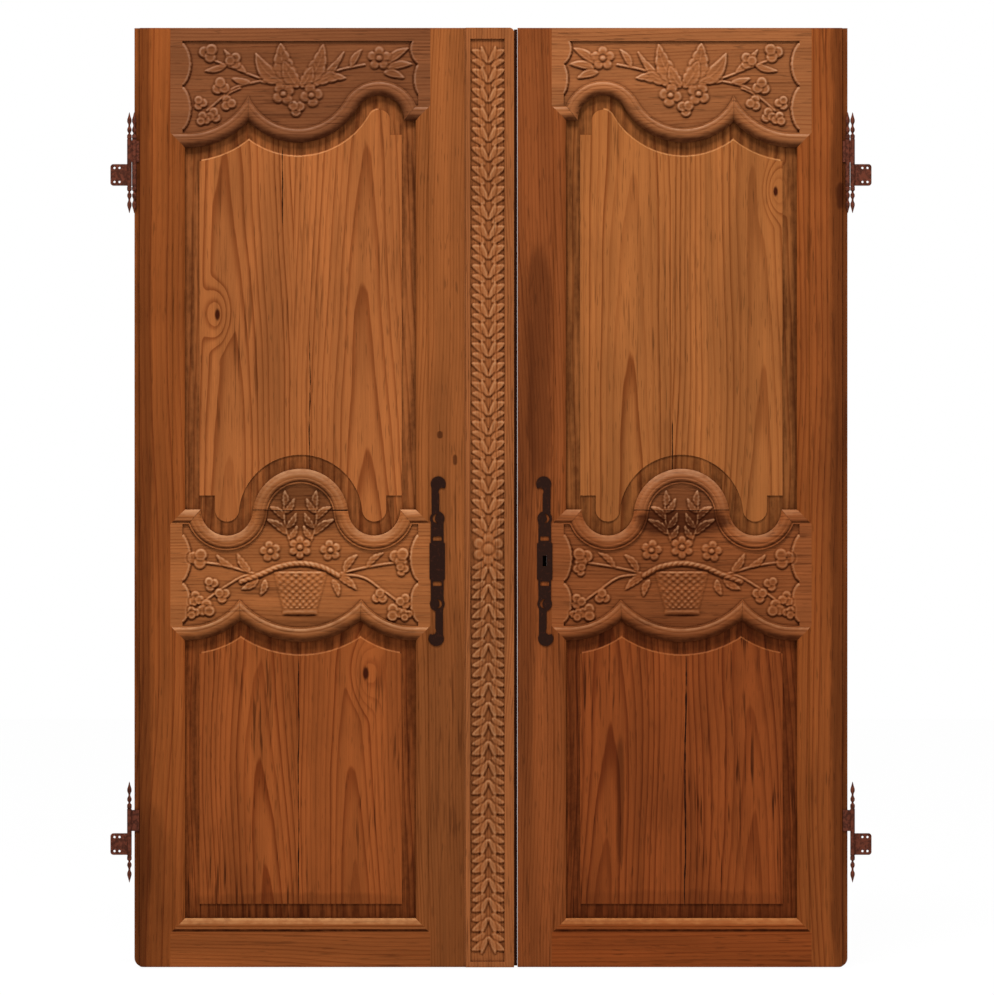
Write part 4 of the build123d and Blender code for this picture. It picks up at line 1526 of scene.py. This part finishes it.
@dataclass(frozen=True)
class RailCarving(LeafPiece):
    """Carved field of a shaped rail, placed from the sight edge of the hanging stile, in millimetres.

    Attributes:
        step: Distance between grid points.
        moulding: Width of the moulding along the sight edges.
        ground: Depth of the ground behind the front face.
        overlap: How far the field reaches past the sight edges of the stiles.
        edge_width: Width of the strip beside the moulding where the carving stays low.
        edge_top: Greatest height there.
        tuck: How far the field reaches under the moulding.
        foot: Height of the field's lowest point above the rail's lower end.
    """

    step: float = 1.25
    moulding: float = 29.0
    ground: float = 4.35
    overlap: float = 5.6
    edge_width: float = 0.8
    edge_top: float = 3.6
    tuck: float = 1.8
    foot: float = 20.0

    def sight_distance(self, u: np.ndarray, z: np.ndarray) -> np.ndarray:
        """Distance from the lower sight edge into the rail, negative on the panel below."""
        raise NotImplementedError

    def field(self, low: float, high: float, lobes: tuple[tuple[float, ...], ...]) -> Relief:
        """Lay out the ground of the field with the lobes at its ends.

        Args:
            low: Height of its lower end.
            high: Height of its upper end.
            lobes: Edge, lower point, upper point and bulge of each lobe.

        Returns:
            The field.
        """
        relief = Relief((-self.overlap, low), (self.door.opening + self.overlap, high), self.step)
        for lobe in lobes:
            relief.end_lobe(*lobe)
        return relief

    def trimmed(self, relief: Relief, near: np.ndarray) -> np.ndarray:
        """Lower the carving beside the moulding.

        Args:
            relief: The field.
            near: Distance from the nearest sight edge.

        Returns:
            Which grid points belong to the field.
        """
        beside = near < self.moulding + self.edge_width
        relief.height = np.where(beside, np.minimum(relief.height, self.edge_top), relief.height)
        return near > self.moulding - self.tuck

    def cut(self, relief: Relief, name: str, node: str, keep: np.ndarray) -> None:
        """Make a carved piece and dress it like the piece of the rail that it lies in.

        Args:
            relief: The field.
            name: Name of the carved piece without its side.
            node: Name of the CAD node without its side.
            keep: Which grid points belong to the piece.
        """
        leaf = self.side.value
        piece = relief.made(f"{leaf}_{name}", self.door, self.side, self.ground, keep, self.door.sight)
        self.dress(piece, BoardBook.finish(f"{leaf}_{node}"), Slot.FRAME)


@dataclass(frozen=True)
class TopRailCarving(RailCarving):
    """Acanthus fan, flowers and branches carved in the top rail of one leaf.

    Attributes:
        rail_end: Height of the rail's lower end.
        horn_rise: Height of the flat horn above that end.
        arch: Middle of the arch beside the horn.
        arch_radius: Its radius.
        swag: Middle of the hanging curve.
        swag_rise: Height of its lowest point above the rail's lower end.
        cusp: Where the hanging curve meets the first sweep.
        sweep_start: Where the first sweep is level.
        sweep_run: Width of the first sweep.
        top_margin: Width of the plain margin above the field.
    """

    rail_end: float = 1634.0
    horn_rise: float = 54.0
    arch: float = 387.0
    arch_radius: float = 50.0
    swag: float = 225.0
    swag_rise: float = 10.0
    cusp: float = 126.0
    sweep_start: float = 6.0
    sweep_run: float = 120.0
    top_margin: float = 26.0

    def sight_distance(self, u: np.ndarray, z: np.ndarray) -> np.ndarray:
        """Distance from the serpentine sight edge.

        Args:
            u: Distance from the sight edge of the hanging stile.
            z: Height above the bottom edge.

        Returns:
            The distance, positive in the rail and negative on the panel.
        """
        end, high, r = self.rail_end, self.rail_end + self.horn_rise, self.arch_radius
        dx, dz = self.arch - self.swag, high - end - self.swag_rise
        big = (dx**2 + dz**2 - r**2) / (2 * (r + dz))
        swag_z = end + self.swag_rise + big
        cusp_z = swag_z - math.sqrt(big**2 - (self.swag - self.cusp) ** 2)
        sweep = arc_radius(self.sweep_run, cusp_z - end)
        first = sweep - np.hypot(u - self.sweep_start, z - end - sweep)
        second = big - np.hypot(u - self.swag, z - swag_z)
        from_arch = np.hypot(u - self.arch, z - high) - r
        over_arch = np.where(z > high, from_arch, np.minimum(from_arch, z - high))
        over_arch = np.where(u > self.arch + r, z - high, over_arch)
        way = ((self.swag - self.arch) / (big + r), (swag_z - high) / (big + r))
        bend = (self.arch + way[0] * r, high + way[1] * r)
        beside = (u - bend[0]) * way[1] - (z - bend[1]) * way[0] > 0
        return np.where(beside, over_arch, np.maximum(first, second))

    def build(self) -> None:
        """Carve the field and dress it."""
        lobes = (
            (-5.0, 1757.0, 1842.0, 17.0), (-5.0, 1668.0, 1755.0, 17.0),
            (465.0, 1800.0, 1860.0, -16.0), (465.0, 1740.0, 1800.0, -9.0),
        )
        relief = self.field(self.rail_end + self.foot, self.door.height - self.top_margin, lobes)
        self.branches(relief)
        self.fan(relief)
        keep = self.trimmed(relief, self.sight_distance(relief.u, relief.z))
        self.cut(relief, "top_rail_carving", "top_rail", keep)

    @staticmethod
    def branches(relief: Relief) -> None:
        """Carve the flowering branches on both sides of the fan.

        Args:
            relief: The field.
        """
        relief.stem([(200, 1760), (149, 1772), (102, 1790), (60, 1806)])
        relief.stem([(160, 1768), (102, 1754), (70, 1730), (44, 1707)])
        relief.stem([(250, 1762), (300, 1786), (358, 1799)])
        relief.stem([(110, 1752), (86, 1740), (78, 1724)], 4.0)
        for base, tip, width in (
            ((122, 1783), (78, 1829), 17), ((84, 1799), (38, 1786), 14), ((130, 1764), (92, 1772), 14),
            ((400, 1800), (446, 1832), 19), ((404, 1792), (454, 1800), 17), ((396, 1784), (438, 1772), 17),
            ((330, 1795), (352, 1829), 15),
        ):
            relief.leaf(base, tip, width, 0.06)
        for centre, radius in (
            ((97, 1806), 14), ((47, 1822), 16), ((71, 1755), 15), ((86, 1722), 13), ((30, 1722), 12),
            ((56, 1697), 13), ((36, 1690), 12),
        ):
            relief.bud(centre, radius)
        relief.flower((387, 1811), 25, 5, 0.3)

    @staticmethod
    def fan(relief: Relief) -> None:
        """Carve the acanthus fan with its two blossoms.

        Args:
            relief: The field.
        """
        for base, tip, width, bend, teeth in (
            ((240, 1756), (318, 1826), 17, -0.1, 4), ((250, 1758), (322, 1772), 26, 0.12, 4),
            ((206, 1758), (150, 1764), 18, -0.1, 4), ((205, 1764), (140, 1822), 34, 0.16, 0),
            ((232, 1758), (276, 1840), 36, -0.12, 5), ((218, 1760), (190, 1842), 42, 0.1, 5),
            ((226, 1752), (196, 1806), 32, 0.05, 4), ((232, 1752), (254, 1796), 26, -0.05, 4),
        ):
            relief.leaf(base, tip, width, bend, 4.8, teeth)
        relief.bud((222, 1712), 14)
        relief.flower((196, 1740), 24, 4, 0.6)
        relief.flower((252, 1737), 24, 4, 0.2)


@dataclass(frozen=True)
class MiddleRailCarving(RailCarving):
    """Flower basket and branches carved in the middle rail of one leaf and in its crest.

    Attributes:
        low: Height of the rail's lower end.
        high: Height of the joint below the crest.
        crown: Height of the field above that joint.
        scoop: Distance from the middle to a scoop's centre.
        scoop_radius: Its radius.
        crown_sink: Depth of the crown's centre below the joint.
        end_centre: Distance from the middle to where an end curve is level.
        end_run: Width of an end curve.
        end_rise: Its rise.
        swag_run: Half the width of the hanging curve.
        swag_drop: Its drop.
    """

    low: float = 651.0
    high: float = 912.0
    crown: float = 62.0
    scoop: float = 147.0
    scoop_radius: float = 52.0
    crown_sink: float = 14.4
    end_centre: float = 224.0
    end_run: float = 104.0
    end_rise: float = 40.0
    swag_run: float = 120.0
    swag_drop: float = 43.0

    @property
    def middle(self) -> float:
        """Middle of the opening."""
        return self.door.opening / 2

    def sight_distance(self, u: np.ndarray, z: np.ndarray) -> np.ndarray:
        """Distance from the cusped lower edge.

        Args:
            u: Distance from the sight edge of the hanging stile.
            z: Height above the bottom edge.

        Returns:
            The distance, positive in the rail and negative on the lower panel.
        """
        w = np.abs(u - self.middle)
        end_radius = arc_radius(self.end_run, self.end_rise)
        swag_radius = arc_radius(self.swag_run, self.swag_drop)
        ends = end_radius - np.hypot(w - self.end_centre, z - self.low - end_radius)
        swag = swag_radius - np.hypot(w, z - (self.low + self.end_rise - self.swag_drop + swag_radius))
        return np.maximum(ends, swag)

    def upper_distance(self, u: np.ndarray, z: np.ndarray) -> np.ndarray:
        """Distance from the crowned upper edge.

        Args:
            u: Distance from the sight edge of the hanging stile.
            z: Height above the bottom edge.

        Returns:
            The distance, positive in the rail.
        """
        w = np.abs(u - self.middle)
        reach = math.hypot(self.scoop, self.crown_sink)
        crown = (reach - self.scoop_radius) - np.hypot(w, z - self.high + self.crown_sink)
        beside = np.where(w < self.scoop + self.scoop_radius, 1e9, self.high - z)
        hollow = np.minimum(np.hypot(w - self.scoop, z - self.high) - self.scoop_radius, beside)
        over = (z - self.high + self.crown_sink) * self.scoop - w * self.crown_sink > 0
        return np.where(over, crown, hollow)

    def build(self) -> None:
        """Carve the plank and the crest and dress them."""
        heights = ((768.0, 862.0), (686.0, 766.0))
        lobes = tuple((edge, *ends, bulge) for ends in heights for edge, bulge in ((-5.0, 17.0), (465.0, -17.0)))
        relief = self.field(self.low + self.foot, self.high + self.crown, lobes)
        self.branches(relief)
        self.bouquet(relief)
        u, z = relief.u, relief.z
        keep = self.trimmed(relief, np.minimum(self.upper_distance(u, z), self.sight_distance(u, z)))
        self.cut(relief, "middle_rail_carving", "middle_rail", keep & (z <= self.high + 0.2))
        self.cut(relief, "crest_carving", "middle_rail_crest", keep & (z >= self.high - 1.0))

    @staticmethod
    def branches(relief: Relief) -> None:
        """Carve the flowering branches on both sides of the basket.

        Args:
            relief: The field.
        """
        relief.stem([(150, 780), (123, 788), (80, 800), (39, 806)])
        relief.stem([(150, 780), (118, 779), (80, 758), (44, 733)])
        relief.stem([(300, 782), (340, 792), (380, 800), (421, 806)])
        relief.stem([(300, 782), (353, 777), (392, 752), (426, 727)])
        for base, tip, width in (
            ((130, 788), (104, 824), 16), ((146, 776), (112, 752), 17), ((96, 796), (62, 822), 13),
            ((316, 788), (344, 822), 16), ((306, 778), (342, 752), 17), ((362, 797), (396, 826), 13),
            ((160, 772), (150, 740), 15), ((294, 772), (306, 738), 15),
        ):
            relief.leaf(base, tip, width, 0.08, 4.2, 4)
        for centre, radius in (
            ((26, 814), 17), ((52, 763), 12), ((74, 741), 13), ((22, 733), 13), ((42, 714), 15), ((16, 706), 11),
            ((428, 816), 17), ((433, 792), 11), ((388, 738), 13), ((436, 728), 13), ((418, 706), 15),
            ((440, 702), 11),
        ):
            relief.bud(centre, radius)

    def turned(self, point: Point, mirror: int) -> Point:
        """Turn a point over to the other half of the rail where mirror is -1."""
        return (self.middle + mirror * (point[0] - self.middle), point[1])

    def bouquet(self, relief: Relief) -> None:
        """Carve the basket, its rope, and the flowers and fronds that rise from it.

        Args:
            relief: The field.
        """
        for mirror in (-1, 1):
            relief.stem([self.turned(point, mirror) for point in ((252, 850), (262, 890), (262, 936))], 4.0)
            for base, tip, width in (
                ((256, 862), (298, 892), 17), ((258, 874), (238, 905), 15), ((260, 892), (292, 918), 16),
                ((262, 904), (242, 934), 14), ((262, 918), (262, 950), 15), ((254, 852), (236, 880), 13),
            ):
                relief.leaf(self.turned(base, mirror), self.turned(tip, mirror), width, 0.08 * mirror, 4.2, 4)
        relief.basket((200, 258, 702), (176, 284, 788))
        relief.rope([(112, 768), (150, 782), (186, 797), (229, 804), (272, 797), (305, 780)])
        for centre in ((170, 828), (290, 830)):
            relief.flower(centre, 22, 5, 0.5)
        relief.flower((229, 836), 24, 6, 0.52, 5.0)


@dataclass(frozen=True)
class FieldEdge(LeafPiece):
    """Worn slope at the foot of a panel's raised field, along its shaped upper edge, in millimetres.

    Attributes:
        step: Distance between grid points.
        inset: Distance from the sight edge to the raised field.
        slope: Width of the slope.
        rise: Height of the slope.
        margin_depth: Depth of the panel's margin behind the front face.
        border: How far the mesh goes past the slope, into the panel.
        tuck_low: How deep it goes there at the foot.
        tuck_high: How deep it goes there at the top.
    """

    step: float = 1.3
    inset: float = 28.0
    slope: float = 4.5
    rise: float = 2.6
    margin_depth: float = 14.0
    border: float = 2.2
    tuck_low: float = 0.4
    tuck_high: float = 0.5

    def build(self) -> None:
        """Build the slopes of both panels and dress them."""
        top, middle = TopRailCarving(self.door, self.side), MiddleRailCarving(self.door, self.side)
        self.slope_below(top, "upper", (32.0, 1590.0), (385.0, 1715.0))
        self.slope_below(middle, "lower", (32.0, 610.0), (428.0, 680.0))

    def slope_below(self, rail: RailCarving, place: str, low: Point, high: Point) -> None:
        """Build the slope below one rail.

        Args:
            rail: The rail that the slope echoes.
            place: Which panel.
            low: Lowest corner of the grid.
            high: Highest corner.
        """
        relief = Relief(low, high, self.step)
        depth = -rail.sight_distance(relief.u, relief.z)
        share = np.clip((depth - self.inset + self.slope) / self.slope, 0, 1)
        foot = np.where(share <= 0, self.tuck_low, 0.0)
        head = np.where(depth > self.inset + 0.2, self.tuck_high, 0.0)
        relief.height = share * self.rise - foot - head
        keep = np.abs(depth - self.inset + self.slope / 2) < self.slope / 2 + self.border
        panel = f"{self.side.value}_{place}"
        piece = relief.made(
            f"{panel}_field_edge", self.door, self.side, self.margin_depth, keep, self.door.sight, 0.0
        )
        self.dress(piece, BoardBook.finish(f"{panel}_panel"), Slot.PANEL)


@dataclass(frozen=True)
class StripCarving(LeafPiece):
    """Laurel and central rosette carved in the strip on the meeting edge, in millimetres.

    Attributes:
        step: Distance between grid points.
        left: Left edge of the channel.
        right: Right edge.
        low: Lower end.
        top_margin: Width of the plain margin above the channel.
        slack: Gap at the ends of the channel.
        ground: Depth of the ground behind the front face.
        centre: Middle of the rosette.
        rosette: Radius of the rosette.
        button: Radius of its hatched button.
        top: Height of the button.
        first_row: Distance from the rosette to the first leaves.
        pitch: Distance between rows of leaves.
        row_room: Room that the rows leave free in all between the rosette and an end.
        leaves: Base, tip, width, bend, height and taper of the leaves of half a row, pointing up and to the right.
    """

    step: float = 1.35
    left: float = 670.05
    right: float = 737.95
    low: float = 11.0
    top_margin: float = 22.0
    slack: float = 0.05
    ground: float = 0.42
    centre: Point = (706.0, 833.0)
    rosette: float = 34.0
    button: float = 12.0
    top: float = 5.2
    first_row: float = 38.0
    pitch: float = 39.0
    row_room: float = 36.0
    leaves: ClassVar[tuple[tuple[Point, Point, float, float, float, float], ...]] = (
        ((7, -13), (33, 0), 13, 0.1, 3.8, 0.55),
        ((9, 2), (33, 21), 15, 0.1, 4.5, 0.55),
        ((1, -6), (14, 28), 11, -0.06, 5.2, 0.6),
    )

    def build(self) -> None:
        """Carve the channel of the strip and dress it."""
        end = self.door.height - self.top_margin
        relief = Relief((self.left, self.low + self.slack), (self.right, end - self.slack), self.step)
        middle, start = self.centre
        for way, reach in ((1, end - start), (-1, start - self.low)):
            for row in range(int((reach - self.row_room) // self.pitch)):
                z = start + way * (self.first_row + self.pitch * row)
                for hand in (-1, 1):
                    self.spray(relief, z, hand, way)
        relief.flower(self.centre, self.rosette, 6, math.pi / 6, 5.0)
        r = np.hypot(relief.u - middle, relief.z - start)
        hatch = 0.75 + 0.25 * np.abs(np.sin(relief.u * 1.1) * np.sin(relief.z * 1.1))
        knob = self.top * dome(r / (self.button + 1)) * hatch
        relief.height = np.where(r < self.button, knob, relief.height)
        relief.height = np.where((r > self.button) & (r < self.button + 2), 1.2, relief.height)
        keep = np.ones_like(relief.u, bool)
        piece = relief.made("left_strip_carving", self.door, self.side, self.ground, keep, 0.0)
        self.dress(piece, BoardBook.finish("left_carved_strip"), Slot.FRAME)

    def spray(self, relief: Relief, z: float, hand: int, way: int) -> None:
        """Carve the leaves of half a row.

        Args:
            relief: The channel.
            z: Height of the row.
            hand: 1 for the right half and -1 for the left.
            way: 1 for leaves that point up and -1 for leaves that point down.
        """
        for base, tip, width, bend, top, taper in self.leaves:
            ends = [(self.centre[0] + hand * point[0], z + way * point[1]) for point in (base, tip)]
            relief.leaf(*ends, width, bend * hand * way, top, 0, taper)


@dataclass(frozen=True)
class PlainBlock(LeafPiece):
    """A plain block that is seen only through a gap, in millimetres.

    Attributes:
        name: Name of the piece.
        low: Lowest corner in leaf coordinates.
        high: Highest corner.
        finish: Its finish.
        slot: Its slot.
    """

    name: str
    low: Corner
    high: Corner
    finish: Finish
    slot: Slot

    @classmethod
    def rebate_lip(cls, door: DoorFrame) -> "PlainBlock":
        """Lip of the left leaf behind the meeting gap, its pine painted near black as the shade in the gap.

        Args:
            door: Frame of the doors.

        Returns:
            The lip.
        """
        # Painted shade: the lip's pine is near black so that the gap reads dark.
        wood = PineFinish("pine_rebate_painted_shade", (44, 24, 12), 0.2)
        low, high = (756.9, 9.0, 2.0), (763.4, 25.9, door.height - 2.0)
        return cls(door, Side.LEFT, "left_rebate_lip", low, high, wood, Slot.FRAME)

    @classmethod
    def lock_face(cls, door: DoorFrame) -> "PlainBlock":
        """Face of the lock behind the keyhole of the right leaf, its iron painted near black as the shade inside the
        keyhole.

        Args:
            door: Frame of the doors.

        Returns:
            The lock's face.
        """
        # Painted shade: the lock face's iron is near black so that the keyhole reads dark.
        iron = IronFinish("iron_lock_face_painted_shade", (14, 9, 7), (22, 12, 8), 0.1, 0.8)
        low, high = (600.1, 24.0, 798.1), (607.9, 27.0, 819.9)
        return cls(door, Side.RIGHT, "right_lock_face", low, high, iron, Slot.IRON)

    def build(self) -> None:
        """Make the block and dress it."""
        corners = np.array(list(product(*zip(self.low, self.high))))
        points = self.door.place(self.side, corners[:, 0], corners[:, 1], corners[:, 2])
        faces = [(0, 1, 3, 2), (4, 6, 7, 5), (0, 4, 5, 1), (2, 3, 7, 6), (0, 2, 6, 4), (1, 5, 7, 3)]
        if self.side is Side.RIGHT:
            faces = [face[::-1] for face in faces]
        mesh = bpy.data.meshes.new(self.name)
        mesh.from_pydata(points.tolist(), [], faces)
        piece = bpy.data.objects.new(self.name, mesh)
        bpy.context.scene.collection.objects.link(piece)
        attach(piece, self.side.body)
        self.dress(piece, self.finish, self.slot)


def main() -> None:
    """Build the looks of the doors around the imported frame."""
    logging.basicConfig(level=logging.INFO, format="%(name)s: %(message)s")
    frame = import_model()
    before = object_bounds()
    low, high = (Vector(v) for v in before)
    aim = (PICTURE_MIDDLE[0], (low.y + high.y) / 2, PICTURE_MIDDLE[1])
    Studio(aim, low.z - FLOOR_GAP).build()
    BoardBook.dress(frame)
    door = DoorFrame.measured()
    for side in Side:
        for piece in (TopRailCarving, MiddleRailCarving, FieldEdge):
            piece(door, side).build()
    StripCarving(door, Side.LEFT).build()
    PlainBlock.rebate_lip(door).build()
    PlainBlock.lock_face(door).build()


if __name__ == "__main__":
    main()
